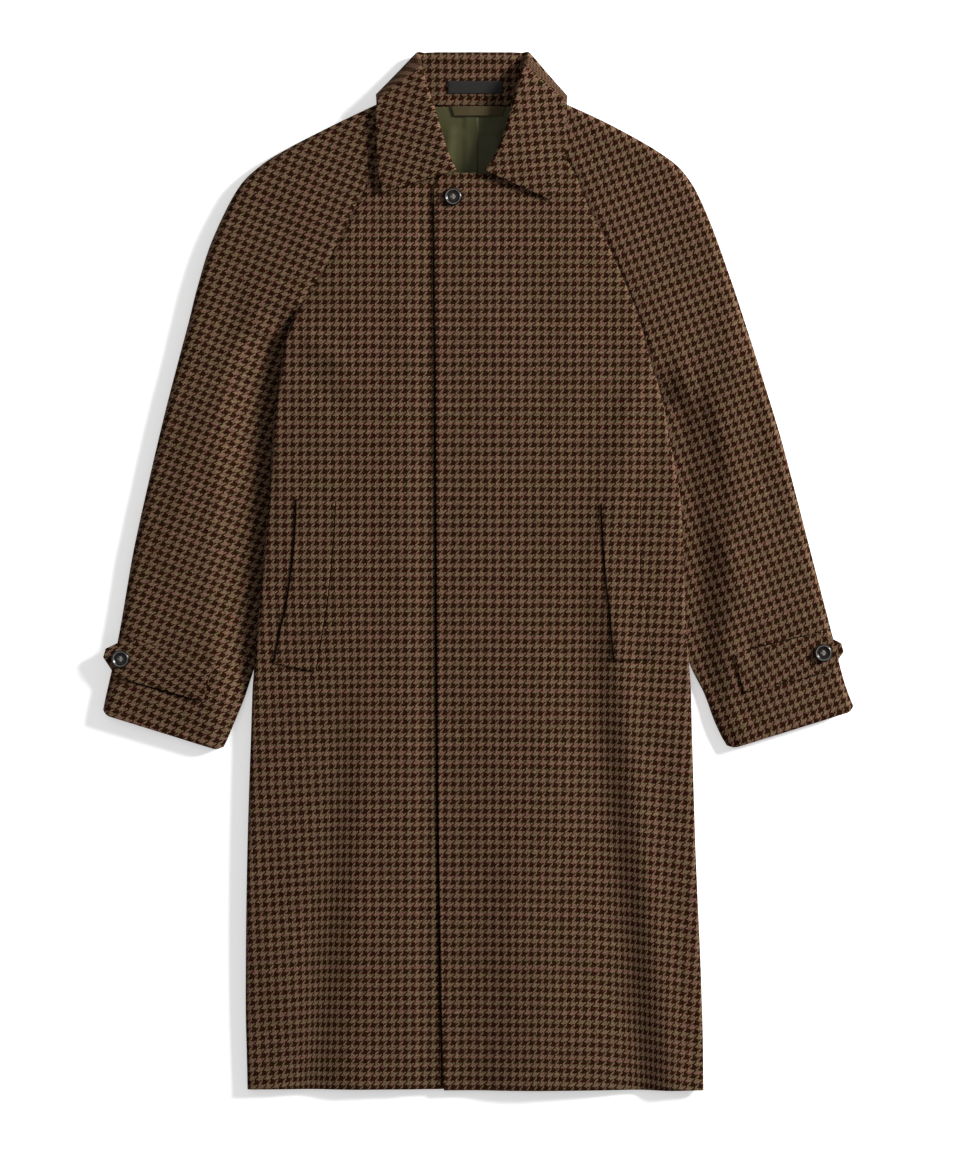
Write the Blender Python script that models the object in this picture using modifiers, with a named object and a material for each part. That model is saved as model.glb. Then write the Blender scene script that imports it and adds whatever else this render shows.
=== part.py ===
"""Balmacaan coat of houndstooth tweed, laid flat on its back.

Every piece that a maker cuts is one solid: two fronts (the left one laps over the right), a back,
two raglan sleeves, a collar cut in one with its stand, welts, cuff straps and buttons, and what
shows in the neck: lining, hanger loop and bare label.

The tables are in millimetres: x from the centre front towards the wearer's left, y up from the
hem towards the collar, z up from the floor. The whole coat is centred on the origin at the end.
A cloth piece is a grid whose points are worked out by a function of its row and column, and a
Solidify modifier gives it its wall.
"""
import math
from collections import namedtuple

import bpy
import bmesh
from mathutils import Vector

MM = 0.001

# Cloth walls and the room between layers
CLOTH = 2.0
LINING = 1.2
WEBBING = 1.5
LABEL = 0.8
SEAM = 0.3
EASE = 0.6
FLOOR = CLOTH / 2

# Main sizes of the coat
BACK_LENGTH = 1103.0
HANG = 1.2
BACK_HEM_RISE = 2.0
FLY_LAP = 43.0
UNDER_SLACK = 0.3
UNDER_DROP = CLOTH + SEAM + EASE + UNDER_SLACK
UNDER_FROM = -78.0
UNDER_RAMP = 26.0
HEM_SHARE = 0.15
SIDE_FOLD = 6.0
SLEEVE_FOLD = 9.0
INNER_FOLD = 5.0
SLEEVE_RISE = 30.0
CUFF_RISE = 20.0
ARMPIT_DIP = 50.0
ARMPIT_GAP = 1.6
PANEL_GAP = SEAM + 0.1
GAP_FROM = 0.9
GAP_RAMP = 0.1
GAP_FADE = 2.0
FOLD_ENDS = 0.3
STRAP_WIDTH = 45.0

# An edge turns into its fold over this share of its points and ends in a short straight tail
TURN_SHARE = 0.8
FOLD_TAIL = 1.2

# Where the back rises: over the sleeves' inner folds, from this far in and from this height on the
# coat, and over the collar's fall behind the neck
TUCK_REACH = 32.0
TUCK_RAMP = 20.0
TUCK_FROM = 370.0
TUCK_FADE = 60.0
NECK_FALL = 1068.0
NECK_FALL_RAMP = 26.0

# The cuffs stand open up to this row of the sleeve table and close over the next ones
CUFF_OPEN = 1.5
CUFF_CLOSE = 2.0

# How high the top layer lies along the coat
Height = namedtuple("Height", "y z")
LAY_HEIGHT = (
    Height(0, 11.0), Height(200, 12.5), Height(500, 14.0), Height(800, 15.5),
    Height(1000, 16.0), Height(1165, 16.5),
)

# Side folds of the body, from the hem to above the armpits: distance from the centre front
Side = namedtuple("Side", "y right left")
SIDES = (
    Side(0, 256, 256), Side(100, 258, 254), Side(270, 256, 247), Side(450, 250, 241.5),
    Side(530, 243.5, 235.5), Side(660, 232.5, 230), Side(767, 225, 211), Side(840, 214.5, 200),
)

# Raglan seams from the armpit (share 0) to the neck (share 1), and the fold of the sleeve over
# the shoulder at the same shares
ARMPIT = {"right": 840.0, "left": 767.0}
Raglan = namedtuple("Raglan", "share right left right_out_x right_out_y left_out_x left_out_y")
RAGLAN = (
    Raglan(0.00, 214.5, 211.0, 322, 860, 316, 818),
    Raglan(0.15, 196.0, 196.0, 312, 900, 300, 868),
    Raglan(0.30, 170.5, 182.0, 296, 951, 285, 913),
    Raglan(0.45, 149.0, 161.5, 268, 1008, 262, 976),
    Raglan(0.55, 137.0, 146.0, 241, 1036, 240, 1020),
    Raglan(0.65, 124.0, 128.5, 207, 1057, 212, 1047),
    Raglan(0.80, 105.5, 106.0, 157, 1082.5, 150, 1082.5),
    Raglan(1.00, 62.0, 58.0, 80, 1119, 72, 1118),
)

# Sleeves from the cuff to the armpit: inner and outer fold, height of the top layer along the
# inner fold, and how far it stays that low (where the body lies on it)
Sleeve = namedtuple("Sleeve", "in_x in_y out_x out_y low flat")
SLEEVES = {
    "right": (
        Sleeve(284.4, 378.9, 419.4, 421, 9.5, 0), Sleeve(270.5, 412, 411, 458, 9.0, 0),
        Sleeve(258, 443, 404, 490, 7.0, 2), Sleeve(246, 478, 396.5, 530, 4.2, 10),
        Sleeve(227, 550, 383.6, 605, 3.6, 30), Sleeve(212, 640, 366, 685, 3.6, 38),
        Sleeve(206, 720, 349, 757, 3.6, 38), Sleeve(207, 790, 334, 815, 3.6, 28),
        Sleeve(214.5, 840, 322, 860, 3.6, 5),
    ),
    "left": (
        Sleeve(283.6, 380.8, 425.6, 425, 9.5, 0), Sleeve(269, 411, 414, 457, 9.0, 0),
        Sleeve(257, 443, 406, 488, 7.0, 2), Sleeve(238, 482, 397, 523, 4.2, 6),
        Sleeve(220, 560, 378, 596, 3.6, 21), Sleeve(206, 640, 361.5, 660, 3.6, 30),
        Sleeve(199, 700, 346, 719, 3.6, 32), Sleeve(201, 740, 334, 760, 3.6, 22),
        Sleeve(211, 767, 316, 818, 3.6, 2),
    ),
}

# Inner edges of the fronts above the armpit, one row for each half step up the raglan seam
Edge = namedtuple("Edge", "place x y")
FRONT_EDGE = {
    "left": (
        Edge(0, -43.5, 767), Edge(1, -43.8, 830), Edge(2, -44.2, 892), Edge(3, -44.8, 950),
        Edge(4, -45.4, 996), Edge(4.5, -44.6, 1014), Edge(5, -33, 1026.5), Edge(5.5, -8, 1027),
        Edge(6, 20, 1028), Edge(6.5, 37, 1062), Edge(7, 48.5, 1098),
    ),
    "right": (
        Edge(0, FLY_LAP, 840), Edge(1, FLY_LAP, 891), Edge(2, FLY_LAP, 930), Edge(3, FLY_LAP, 962),
        Edge(4, 42, 988), Edge(4.5, 38, 998), Edge(5, 27, 1009), Edge(5.5, 0, 1019),
        Edge(6, -31, 1028), Edge(6.5, -44, 1063), Edge(7, -53, 1098),
    ),
}
FLY_EDGE = (Height(0, -35.3), Height(100, -37.5), Height(330, -42.0), Height(767, -43.5))

# Large soft folds: top and foot of each line, height there (a trough is negative), and how wide
# it is towards the wearer's right and left
Fold = namedtuple("Fold", "top_x top_y foot_x foot_y top_z foot_z right left")
FOLDS = (
    Fold(101, 690, 193, -60, -2.0, -6.0, 36, 17),
    Fold(139, 665, 229, -60, 3.0, 3.5, 16, 16),
    Fold(184, 815, 146, 600, 2.5, 2.5, 20, 15),
    Fold(27, 540, 72, -60, 1.0, 5.0, 40, 46),
    Fold(12, 300, -4, -60, -1.0, -2.5, 30, 26),
    Fold(-138, 540, -190, -60, -1.5, -3.5, 26, 20),
    Fold(-116, 520, -138, -60, 1.5, 2.5, 22, 40),
    Fold(238, 850, 283, 600, -4.0, -3.0, 11, 14),
    Fold(-262, 700, -300, 480, -2.5, -2.0, 16, 24),
)

# Collar from its front end, round the side fold, to the centre back: neck seam, roll and outer
# edge. turn is 0 where the fall lies on the coat and 180 where it lies under the stand.
Collar = namedtuple("Collar", "neck_x neck_y neck_z roll_x roll_y roll_z radius edge_x edge_y edge_z turn")
COLLARS = {
    "right": (
        Collar(31, 1030, 18.2, 22.0, 1029.5, 21.6, 2.2, 104.3, 1004.6, 18.9, 0),
        Collar(40, 1052, 18.4, 31.5, 1049.4, 23.0, 3.0, 108.2, 1027, 18.9, 0),
        Collar(49, 1076, 18.5, 39.3, 1075.2, 23.5, 3.2, 110.0, 1053, 19.2, 0),
        Collar(60, 1104, 18.3, 47.6, 1103.0, 23.5, 3.4, 110.6, 1080, 19.6, 0),
        Collar(68, 1113, 17.4, 55.5, 1126.0, 22.5, 3.6, 110.8, 1097, 20.0, 0),
        Collar(74, 1121, 15.5, 60.5, 1147.0, 19.0, 3.0, 110.6, 1108.5, 19.5, 20),
        Collar(79, 1128.5, 10.5, 63.0, 1160.8, 11.8, 2.4, 110.2, 1115.6, 11.0, 90),
        Collar(74, 1122, 5.6, 57.0, 1162.3, 6.3, 2.8, 102.0, 1113.0, 2.7, 160),
        Collar(58, 1108.0, 4.0, 42.0, 1162.9, 5.7, 4.0, 78.0, 1103.0, 1.2, 180),
        Collar(30, 1104.2, 3.5, 22.0, 1162.9, 5.6, 4.4, 40.0, 1099, 1.0, 180),
    ),
    "left": (
        Collar(20, 1030, 18.2, 11.0, 1029.0, 21.6, 2.2, 83.5, 997.0, 18.9, 0),
        Collar(32, 1052, 18.4, 23.5, 1049.4, 23.0, 3.0, 95.5, 1018, 18.9, 0),
        Collar(43.5, 1076, 18.5, 33.7, 1075.2, 23.5, 3.2, 100.5, 1047, 19.2, 0),
        Collar(56, 1104, 18.3, 41.5, 1105.0, 23.5, 3.4, 101.6, 1075, 19.6, 0),
        Collar(62, 1113, 17.4, 48.0, 1128.0, 22.5, 3.6, 102.0, 1093, 20.0, 0),
        Collar(67, 1121, 15.5, 53.5, 1147.0, 19.0, 3.0, 102.2, 1106.5, 19.5, 20),
        Collar(71.5, 1128.5, 10.5, 57.5, 1160.8, 11.8, 2.4, 101.8, 1114.0, 11.0, 90),
        Collar(67, 1122, 5.6, 51.5, 1162.3, 6.3, 2.8, 94.5, 1112.0, 2.7, 160),
        Collar(53, 1108.0, 4.0, 38.0, 1162.9, 5.7, 4.0, 72.0, 1103.0, 1.2, 180),
        Collar(24, 1104.2, 3.5, 18.0, 1162.9, 5.6, 4.4, 34.0, 1099, 1.0, 180),
    ),
}
COLLAR_BACK = Collar(3, 1104.0, 3.5, 3, 1163.0, 5.6, 4.5, 3, 1098, 1.0, 180)

# Pocket welts: inner side and opening side at each height, and how much the foot tilts
Welt = namedtuple("Welt", "inner_x inner_y outer_x outer_y")
WELTS = {
    "right": (Welt(157, 662, 200.5, 663), Welt(160, 613, 202.5, 617), Welt(166, 550, 210, 554),
              Welt(173, 508, 218.5, 515), Welt(179.5, 468, 225.5, 478)),
    "left": (Welt(141, 657.5, 184.5, 666), Welt(142.8, 612, 183.5, 614), Welt(147.5, 560, 185.5, 566),
             Welt(152, 518, 192, 522), Welt(155, 480.5, 197.5, 482.5)),
}

# Cuff straps: where the middle line leaves the sleeve seam, and its point past the outer fold
Strap = namedtuple("Strap", "seam_x seam_y tip_x tip_y button_x button_y")
STRAPS = {
    "right": Strap(299, 457, 415.5, 489.5, 397.3, 482.8),
    "left": Strap(295, 467, 411.0, 495.5, 389.0, 489.6),
}
STRAP_POINT = 20.0
STRAP_BLUNT = 5.0

# Half a button's outline, from the middle of its top over the rim to the middle of its foot
BUTTON_WIDTH = 20.0
Turned = namedtuple("Turned", "share height")
BUTTON_PROFILE = (
    Turned(0.0, 2.2), Turned(0.52, 2.2), Turned(0.68, 3.4), Turned(0.84, 3.6), Turned(0.98, 2.6),
    Turned(1.0, 1.5), Turned(0.84, 0.0), Turned(0.0, 0.0),
)
BUTTON_SIDES = 20
HOLE_RADIUS = 0.9
HOLE_SPREAD = 2.1
HOLE_SIDES = 8
PIN_DEPTH = 8.0
PIN_MIDDLE = 1.5
NECK_BUTTON = (-25.2, 1000.2)

# What shows in the neck: corners of the label and of the lining, its pleat, and the hanger loop
LABEL_BOX = (-30.8, 1117.2, 30.2, 1131.2)
LINING_BOX = (-54.0, 985.0, 48.0, 1098.0)
LINING_PLEAT = 1.7
PLEAT_DEPTH = 18.0
PLEAT_FOOT = 8.0
PLEAT_EDGE = 1.5
LOOP_ENDS = (-25.5, 31.5)
LOOP_Y = (1089.5, 1100.3)
LOOP_ARCH = 1.9

Finish = namedtuple("Finish", "colour roughness")
FINISHES = {
    "tweed": Finish((0.068, 0.035, 0.019), 0.95),
    "lining": Finish((0.058, 0.056, 0.027), 0.6),
    "loop": Finish((0.080, 0.055, 0.026), 0.7),
    "label": Finish((0.020, 0.020, 0.024), 0.8),
    "horn": Finish((0.016, 0.012, 0.010), 0.25),
}


def clear_scene():
    """Remove what the file opens with."""
    for thing in list(bpy.data.objects):
        bpy.data.objects.remove(thing)


def ease(share):
    """Smooth step from 0 to 1."""
    share = min(max(share, 0.0), 1.0)
    return share * share * (3.0 - 2.0 * share)


def mix(a, b, share):
    return a + (b - a) * share


def spline(rows, place):
    """A smooth curve through the rows of a table, at place 0 on the first and 1 more on each next."""
    last = len(rows) - 1
    i = min(max(int(place), 0), last - 1)
    s = place - i
    a, b, c, d = (rows[min(max(k, 0), last)] for k in (i - 1, i, i + 1, i + 2))
    return tuple(
        0.5 * (2 * q + (r - p) * s + (2 * p - 5 * q + 4 * r - t) * s ** 2 + (3 * q - p - 3 * r + t) * s ** 3)
        for p, q, r, t in zip(a, b, c, d)
    )


def place_in(rows, key, value):
    """The place in a table where its rising column key reaches a value."""
    for i in range(len(rows) - 1):
        low, high = getattr(rows[i], key), getattr(rows[i + 1], key)
        if value <= high or i == len(rows) - 2:
            return i + min(max((value - low) / (high - low), 0.0), 1.0)
    return 0.0


def lookup(rows, key, value, column):
    """Another column of a table where its column key has a value."""
    names = rows[0]._fields
    return spline(rows, place_in(rows, key, value))[names.index(column)]


def sign(side):
    return -1.0 if side == "right" else 1.0


def fold_height(fold, x, y):
    """How far one soft fold lifts the cloth at a point."""
    along = Vector((fold.foot_x - fold.top_x, fold.foot_y - fold.top_y))
    out = Vector((x - fold.top_x, y - fold.top_y))
    share = out.dot(along) / along.length_squared
    across = (along.x * out.y - along.y * out.x) / along.length
    width = fold.left if across > 0 else fold.right
    ends = ease(share / FOLD_ENDS) * (1.0 if fold.foot_y < 0 else ease((1.0 - share) / FOLD_ENDS))
    return mix(fold.top_z, fold.foot_z, min(max(share, 0.0), 1.0)) * ends * math.exp(-(across / width) ** 2)


def lay_height(x, y):
    """Middle of the top layer of cloth above the floor."""
    height = lookup(LAY_HEIGHT, "y", y, "z")
    return height + sum(fold_height(fold, x, y) for fold in FOLDS)


def side_x(side, y):
    """Side fold of the body: the middle of its wall."""
    return sign(side) * (lookup(SIDES, "y", y, side) - CLOTH / 2)


def raglan(side, place):
    """A point of the raglan seam, at place 0 in the armpit and 7 at the neck."""
    share, x = (spline(RAGLAN, place)[RAGLAN[0]._fields.index(name)] for name in ("share", side))
    y = mix(ARMPIT[side], BACK_LENGTH, share)
    wall = CLOTH / 2 * (1.0 - ease(place))
    return Vector((sign(side) * (x - wall), y))


def up_from_armpit(side, place):
    """Length of the raglan seam from the armpit, for what happens in the armpit only."""
    return (raglan(side, place) - raglan(side, 0.0)).length


def body_edge(side, row):
    """Outer edge of fronts and back: row 0 to 1 is the side fold, 1 to 8 the raglan seam."""
    if row <= 1.0:
        y = ARMPIT[side] * row
        return Vector((side_x(side, y), y))
    return raglan(side, row - 1.0)


def inner_fold_x(side, y):
    """Inner fold of the sleeve, or the raglan seam above the armpit."""
    if y > ARMPIT[side]:
        share = (y - ARMPIT[side]) / (BACK_LENGTH - ARMPIT[side])
        return lookup(RAGLAN, "share", share, side)
    return lookup(SLEEVES[side], "in_y", y, "in_x")


def back_height(x, y):
    """Middle of the lower layer: on the floor, but over the sleeve folds and over the collar's fall."""
    side = "left" if x > 0 else "right"
    over = abs(x) - inner_fold_x(side, y)
    tuck = SLEEVES[side][5].low + CLOTH / 2 + EASE + CLOTH / 2 - FLOOR
    across = ease((over + TUCK_REACH) / TUCK_RAMP)
    along = ease((ARMPIT[side] + ARMPIT_DIP - y) / ARMPIT_DIP) * ease((y - TUCK_FROM) / TUCK_FADE)
    return FLOOR + tuck * across * along + neck_lift(y)


def neck_lift(y):
    """The lower layer rises over the fall of the collar behind the neck."""
    return (CLOTH + EASE) * ease((y - NECK_FALL) / NECK_FALL_RAMP)


def side_seam_height(side, row):
    """Height of the seam between front and back, in the side fold."""
    edge = body_edge(side, min(row, 1.0))
    low = back_height(edge.x, edge.y)
    high = lay_height(edge.x, edge.y)
    share = mix(0.5, (CLOTH + EASE) / max(high - low, CLOTH + EASE), ease((row - TURN_SHARE) / (1.0 - TURN_SHARE)))
    return mix(low, high, share)


def dip(side, row):
    """1 along the side fold, and fading out up the raglan seam."""
    return 1.0 if row <= 1.0 else 1.0 - ease(up_from_armpit(side, row - 1.0) / ARMPIT_DIP)


def turned(share, depth, drop):
    """An edge that turns into a fold, with a short straight end: how far a point at a share of the
    turn lies in from the edge, and how far out of its layer."""
    steep = ease(drop / (CLOTH + SEAM + EASE))
    tail_in, tail_down = FOLD_TAIL * (1.0 - steep), FOLD_TAIL * steep
    if share >= TURN_SHARE:
        rest = (1.0 - share) / (1.0 - TURN_SHARE)
        return tail_in * rest, drop - tail_down * rest
    angle = math.radians(90.0 * share / TURN_SHARE)
    return depth - (depth - tail_in) * math.sin(angle), (drop - tail_down) * (1.0 - math.cos(angle))


def seam_gap(row):
    """Room between a panel and the seam line: none in the folds, widest in the armpit."""
    return mix(ARMPIT_GAP, PANEL_GAP, ease((row - 1.0) / GAP_FADE)) / 2 * ease((row - GAP_FROM) / GAP_RAMP)


def front_inner(side, row):
    """Buttoning edge and neck edge of a front."""
    if row <= 1.0:
        y = ARMPIT[side] * row
        x = lookup(FLY_EDGE, "y", y, "z") if side == "left" else FLY_LAP
        return Vector((x, y))
    rows = FRONT_EDGE[side]
    edge = spline(rows, place_in(rows, "place", row - 1.0))
    return Vector((edge[1], edge[2]))


def front_point(side, row, column):
    """A front: column 0 to 1 lies flat, 1 to 2 turns down into the side fold."""
    inner, outer = front_inner(side, row), body_edge(side, row)
    toward = (outer - inner).normalized()
    outer = outer - toward * seam_gap(row)
    span = (outer - inner).length
    fold = min(SIDE_FOLD, span / 3)
    top = lay_height(outer.x, outer.y)
    drop = dip(side, row) * (top - side_seam_height(side, row))
    back_in, down = turned(max(column - 1.0, 0.0), fold, drop)
    plan = inner + toward * ((span - fold) * column if column <= 1.0 else span - back_in)
    z = lay_height(plan.x, plan.y) - down
    if side == "right":
        z -= UNDER_DROP * ease((plan.x - UNDER_FROM) / UNDER_RAMP)
    hang = HANG * (1.0 - ease(row / HEM_SHARE)) if side == "left" else 0.0
    return Vector((plan.x, plan.y - hang, z))


def back_point(row, column):
    """The back: column 0 to 1 is the right side fold, 1 to 2 lies flat, 2 to 3 is the left fold."""
    right, left = body_edge("right", row), body_edge("left", row)
    toward = (left - right).normalized()
    right, left = right + toward * seam_gap(row), left - toward * seam_gap(row)
    span = (left - right).length
    side = "right" if column < 1.5 else "left"
    edge = right if side == "right" else left
    rise = dip(side, row) * (side_seam_height(side, row) - SEAM - back_height(edge.x, edge.y))
    inward, up = turned(1.0 - min(column, 3.0 - column, 1.0), SIDE_FOLD, rise)
    if 1.0 <= column <= 2.0:
        reach = mix(SIDE_FOLD, span - SIDE_FOLD, column - 1.0)
    else:
        reach = inward if side == "right" else span - inward
    plan = right + toward * reach
    plan.y += BACK_HEM_RISE * (1.0 - ease(row / HEM_SHARE))
    return Vector((plan.x, plan.y, back_height(plan.x, plan.y) + up))


def sleeve_edges(side, row):
    """Inner and outer edge of a sleeve: row 0 to 8 from the cuff to the armpit, 8 to 15 to the neck."""
    lower = SLEEVES[side]
    out_rows = [(r.out_x, r.out_y) for r in lower[:-1]]
    out_rows += [spline(RAGLAN, i)[3:5] if side == "right" else spline(RAGLAN, i)[5:7] for i in range(8)]
    out_x, out_y = spline(out_rows, row)
    outer = Vector((sign(side) * out_x, out_y))
    if row <= 8.0:
        in_x, in_y, _, _, low, flat = spline(lower, row)
        inner = Vector((sign(side) * in_x, in_y))
        toward = (outer - inner).normalized()
        inner = inner + toward * CLOTH / 2
    else:
        inner = raglan(side, row - 8.0)
        toward = (outer - inner).normalized()
        low, flat = front_seam_height(side, row - 7.0), 0.0
        low = mix(lower[-1].low, low, ease(up_from_armpit(side, row - 8.0) / ARMPIT_DIP))
    inner = inner + toward * (seam_gap(row - 7.0) if row > 8.0 else ARMPIT_GAP / 2 * ease(row - 7.0))
    return inner, outer - toward * CLOTH / 2, low, flat


def front_seam_height(side, row):
    """Height of the top layer along the raglan seam."""
    edge = body_edge(side, row)
    top = lay_height(edge.x, edge.y)
    return top - dip(side, row) * (top - side_seam_height(side, row))


def sleeve_point(side, row, column):
    """A sleeve, all round: columns 0 to 1 inner fold (top half), 1 to 2 top layer, 2 to 4 outer
    fold, 4 to 5 under layer, 5 to 6 inner fold (under half)."""
    inner, outer, low, flat = sleeve_edges(side, row)
    toward = (outer - inner).normalized()
    span = (outer - inner).length
    fold_out = min(SLEEVE_FOLD, span / 3)
    closed = 1.0 - ease((row - CUFF_OPEN) / CUFF_CLOSE)
    drop = closed * (low - FLOOR - SEAM - EASE) / 2
    upper_half = column <= 3.0
    up = down = 0.0
    if column <= 1.0 or column >= 5.0:
        reach, down = turned(1.0 - (column if upper_half else 6.0 - column), INNER_FOLD, drop)
    elif column <= 2.0:
        reach = mix(INNER_FOLD, span - fold_out, column - 1.0)
    elif column <= 4.0:
        angle = math.radians(90.0 * abs(column - 3.0))
        reach = span - fold_out * (1.0 - math.cos(angle))
        up = 1.0 - math.sin(angle)
    else:
        reach = mix(span - fold_out, INNER_FOLD, column - 4.0)
    plan = inner + toward * reach
    width = mix(CUFF_RISE, SLEEVE_RISE, ease(row / 4.0))
    top = mix(low, lay_height(plan.x, plan.y), ease((reach - flat) / width)) - down
    bottom = FLOOR + neck_lift(plan.y) + down
    z = mix(top if upper_half else bottom, (top + bottom) / 2, up)
    return Vector((plan.x, plan.y, z))


def collar_rows():
    """All rows of the collar in one line, from the right front end round the back to the left."""
    right = [mirrored_row(row, -1.0) for row in COLLARS["right"]]
    left = [mirrored_row(row, 1.0) for row in COLLARS["left"]]
    return right + [mirrored_row(COLLAR_BACK, -1.0)] + left[::-1]


def mirrored_row(row, way):
    """A row with its x on the right (-1) or left (+1), and its turn as the lie of the fall."""
    turn = math.radians(row.turn)
    return row._replace(neck_x=way * row.neck_x, roll_x=way * row.roll_x, edge_x=way * row.edge_x,
                        turn=way * turn) + (way * math.sin(turn), math.cos(turn))


def collar_point(rows, row, column):
    """The collar: column 0 to 1 is the stand from the neck seam, 1 to 2 the roll, 2 to 3 the fall."""
    nx, ny, nz, rx, ry, rz, radius, ex, ey, ez, _, side_lie, up_lie = spline(rows, row)
    neck, apex, edge = Vector((nx, ny, nz)), Vector((rx, ry, rz)), Vector((ex, ey, ez))
    back = Vector((rx - ex, ry - ey, 0.0)).normalized()
    outward = Vector((-back.y, back.x, 0.0))
    if outward.x * (rx + COLLAR_BACK.neck_x) < 0:
        outward = -outward
    lie = (outward * abs(side_lie) + Vector((0, 0, up_lie))).normalized()
    centre = apex - back * radius
    if column <= 1.0:
        return neck.lerp(centre - lie * radius, column)
    if column <= 2.0:
        angle = math.radians(180.0 * (column - 1.0))
        return centre - lie * radius * math.cos(angle) + back * radius * math.sin(angle)
    return (centre + lie * radius).lerp(edge, column - 2.0)


def finish_material(name):
    """A material of one plain colour for a sub-part."""
    finish = FINISHES[name]
    material = bpy.data.materials.new(name)
    material.use_nodes = True
    shader = material.node_tree.nodes["Principled BSDF"]
    shader.inputs["Base Color"].default_value = (*finish.colour, 1.0)
    shader.inputs["Roughness"].default_value = finish.roughness
    shader.inputs["Metallic"].default_value = 0.0
    material.diffuse_color = (*finish.colour, 1.0)
    return material


def add_object(name, mesh, finish, group):
    obj = bpy.data.objects.new(name, mesh)
    obj.data.materials.append(finish_material(finish))
    group.objects.link(obj)
    return obj


def cloth(name, rows, columns, point, wall, finish, group):
    """A grid shaped by point(row, column), with a wall of cloth half to each side."""
    grid = bmesh.new()
    bmesh.ops.create_grid(grid, x_segments=len(columns) - 1, y_segments=len(rows) - 1, size=1.0)
    for vert in grid.verts:
        column = columns[round((vert.co.x + 1.0) / 2.0 * (len(columns) - 1))]
        row = rows[round((vert.co.y + 1.0) / 2.0 * (len(rows) - 1))]
        vert.co = point(row, column) * MM
    mesh = bpy.data.meshes.new(name)
    grid.to_mesh(mesh)
    grid.free()
    mesh.shade_smooth()
    mesh.set_sharp_from_angle(angle=math.radians(50))
    obj = add_object(name, mesh, finish, group)
    thick = obj.modifiers.new("wall", "SOLIDIFY")
    thick.thickness = wall * MM
    thick.offset = 0.0
    thick.use_even_offset = True
    return obj


def steps(low, high, count):
    return [mix(low, high, i / count) for i in range(count + 1)]


def fronts(group):
    rows = steps(0.0, 1.0, 12) + steps(1.0, 8.0, 14)[1:]
    columns = steps(0.0, 1.0, 11) + steps(1.0, 1.8, 3)[1:] + [2.0]
    for side in ("right", "left"):
        cloth(f"front_{side}", rows, columns, lambda row, column: front_point(side, row, column),
              CLOTH, "tweed", group)


def back(group):
    rows = steps(0.0, 1.0, 12) + steps(1.0, 8.0, 14)[1:]
    fold = [0.0] + steps(0.2, 1.0, 3)
    under_sleeve = [1.022, 1.044, 1.066, 1.09, 1.12, 1.17]
    middle = under_sleeve + steps(1.25, 1.75, 5) + [3.0 - c for c in reversed(under_sleeve)]
    columns = fold + middle + [3.0 - c for c in reversed(fold)]
    cloth("back", rows, columns, back_point, CLOTH, "tweed", group)


def sleeves(group):
    rows = steps(0.0, 8.0, 10) + steps(8.0, 15.0, 14)[1:]
    fold = [0.0, 0.2, 0.6, 1.0]
    columns = fold + steps(1, 2, 8)[1:] + steps(2, 4, 6)[1:] + steps(4, 5, 5)[1:] + [6.0 - c for c in fold[2::-1]]
    for side in ("right", "left"):
        cloth(f"sleeve_{side}", rows, columns, lambda row, column: sleeve_point(side, row, column),
              CLOTH, "tweed", group)


def collar(group):
    table = collar_rows()
    rows = steps(0.0, len(table) - 1.0, 2 * (len(table) - 1))
    columns = steps(0, 1, 3) + steps(1, 2, 4)[1:] + steps(2, 3, 5)[1:]
    cloth("collar", rows, columns, lambda row, column: collar_point(table, row, column), CLOTH, "tweed", group)


def on_top(x, y, above):
    """A point that lies on the top layer, its middle so far above that layer's middle."""
    return Vector((x, y, lay_height(x, y) + above))


def welts(group):
    above = CLOTH + SEAM + EASE
    for side in ("right", "left"):
        table = WELTS[side]

        def point(row, column):
            inner_x, inner_y, outer_x, outer_y = spline(table, row)
            return on_top(sign(side) * mix(inner_x, outer_x, column), mix(inner_y, outer_y, column), above)

        cloth(f"pocket_welt_{side}", steps(0, 4, 12), steps(0, 1, 4), point, CLOTH, "tweed", group)


def straps(group):
    above = CLOTH + SEAM + EASE
    for side in ("right", "left"):
        strap = STRAPS[side]
        start = Vector((sign(side) * strap.seam_x, strap.seam_y))
        along = Vector((sign(side) * strap.tip_x, strap.tip_y)) - start
        length = along.length
        along.normalize()
        across = Vector((-along.y, along.x))

        def point(row, column):
            share = min((1.0 - row) * length / STRAP_POINT, 1.0)
            half = mix(STRAP_BLUNT, STRAP_WIDTH / 2, share)
            plan = start + along * length * row + across * half * (2.0 * column - 1.0)
            return on_top(plan.x, plan.y, above)

        rows = steps(0.0, 1.0 - STRAP_POINT / length, 6) + steps(1.0 - STRAP_POINT / length, 1.0, 3)[1:]
        cloth(f"cuff_strap_{side}", rows, steps(0, 1, 4), point, CLOTH, "tweed", group)


def neck_lining(group):
    x0, y0, x1, y1 = LINING_BOX

    def point(y, x):
        over = ease((x - LINING_PLEAT + PLEAT_DEPTH) / PLEAT_FOOT)
        fold = over * ease((LINING_PLEAT + PLEAT_EDGE - x) / PLEAT_EDGE)
        z = back_height(0.0, y) + CLOTH / 2 + LINING / 2 + EASE + fold * LINING
        return Vector((x, y, z))

    foot = LINING_PLEAT - PLEAT_DEPTH
    left = steps(x0, foot, 3) + steps(foot, LINING_PLEAT, 3)[1:]
    right = steps(LINING_PLEAT + PLEAT_EDGE, x1, 4)
    rows = steps(y0, NECK_FALL, 5) + steps(NECK_FALL, y1, 4)[1:]
    cloth("back_lining", rows, left + right, point, LINING, "lining", group)


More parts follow.
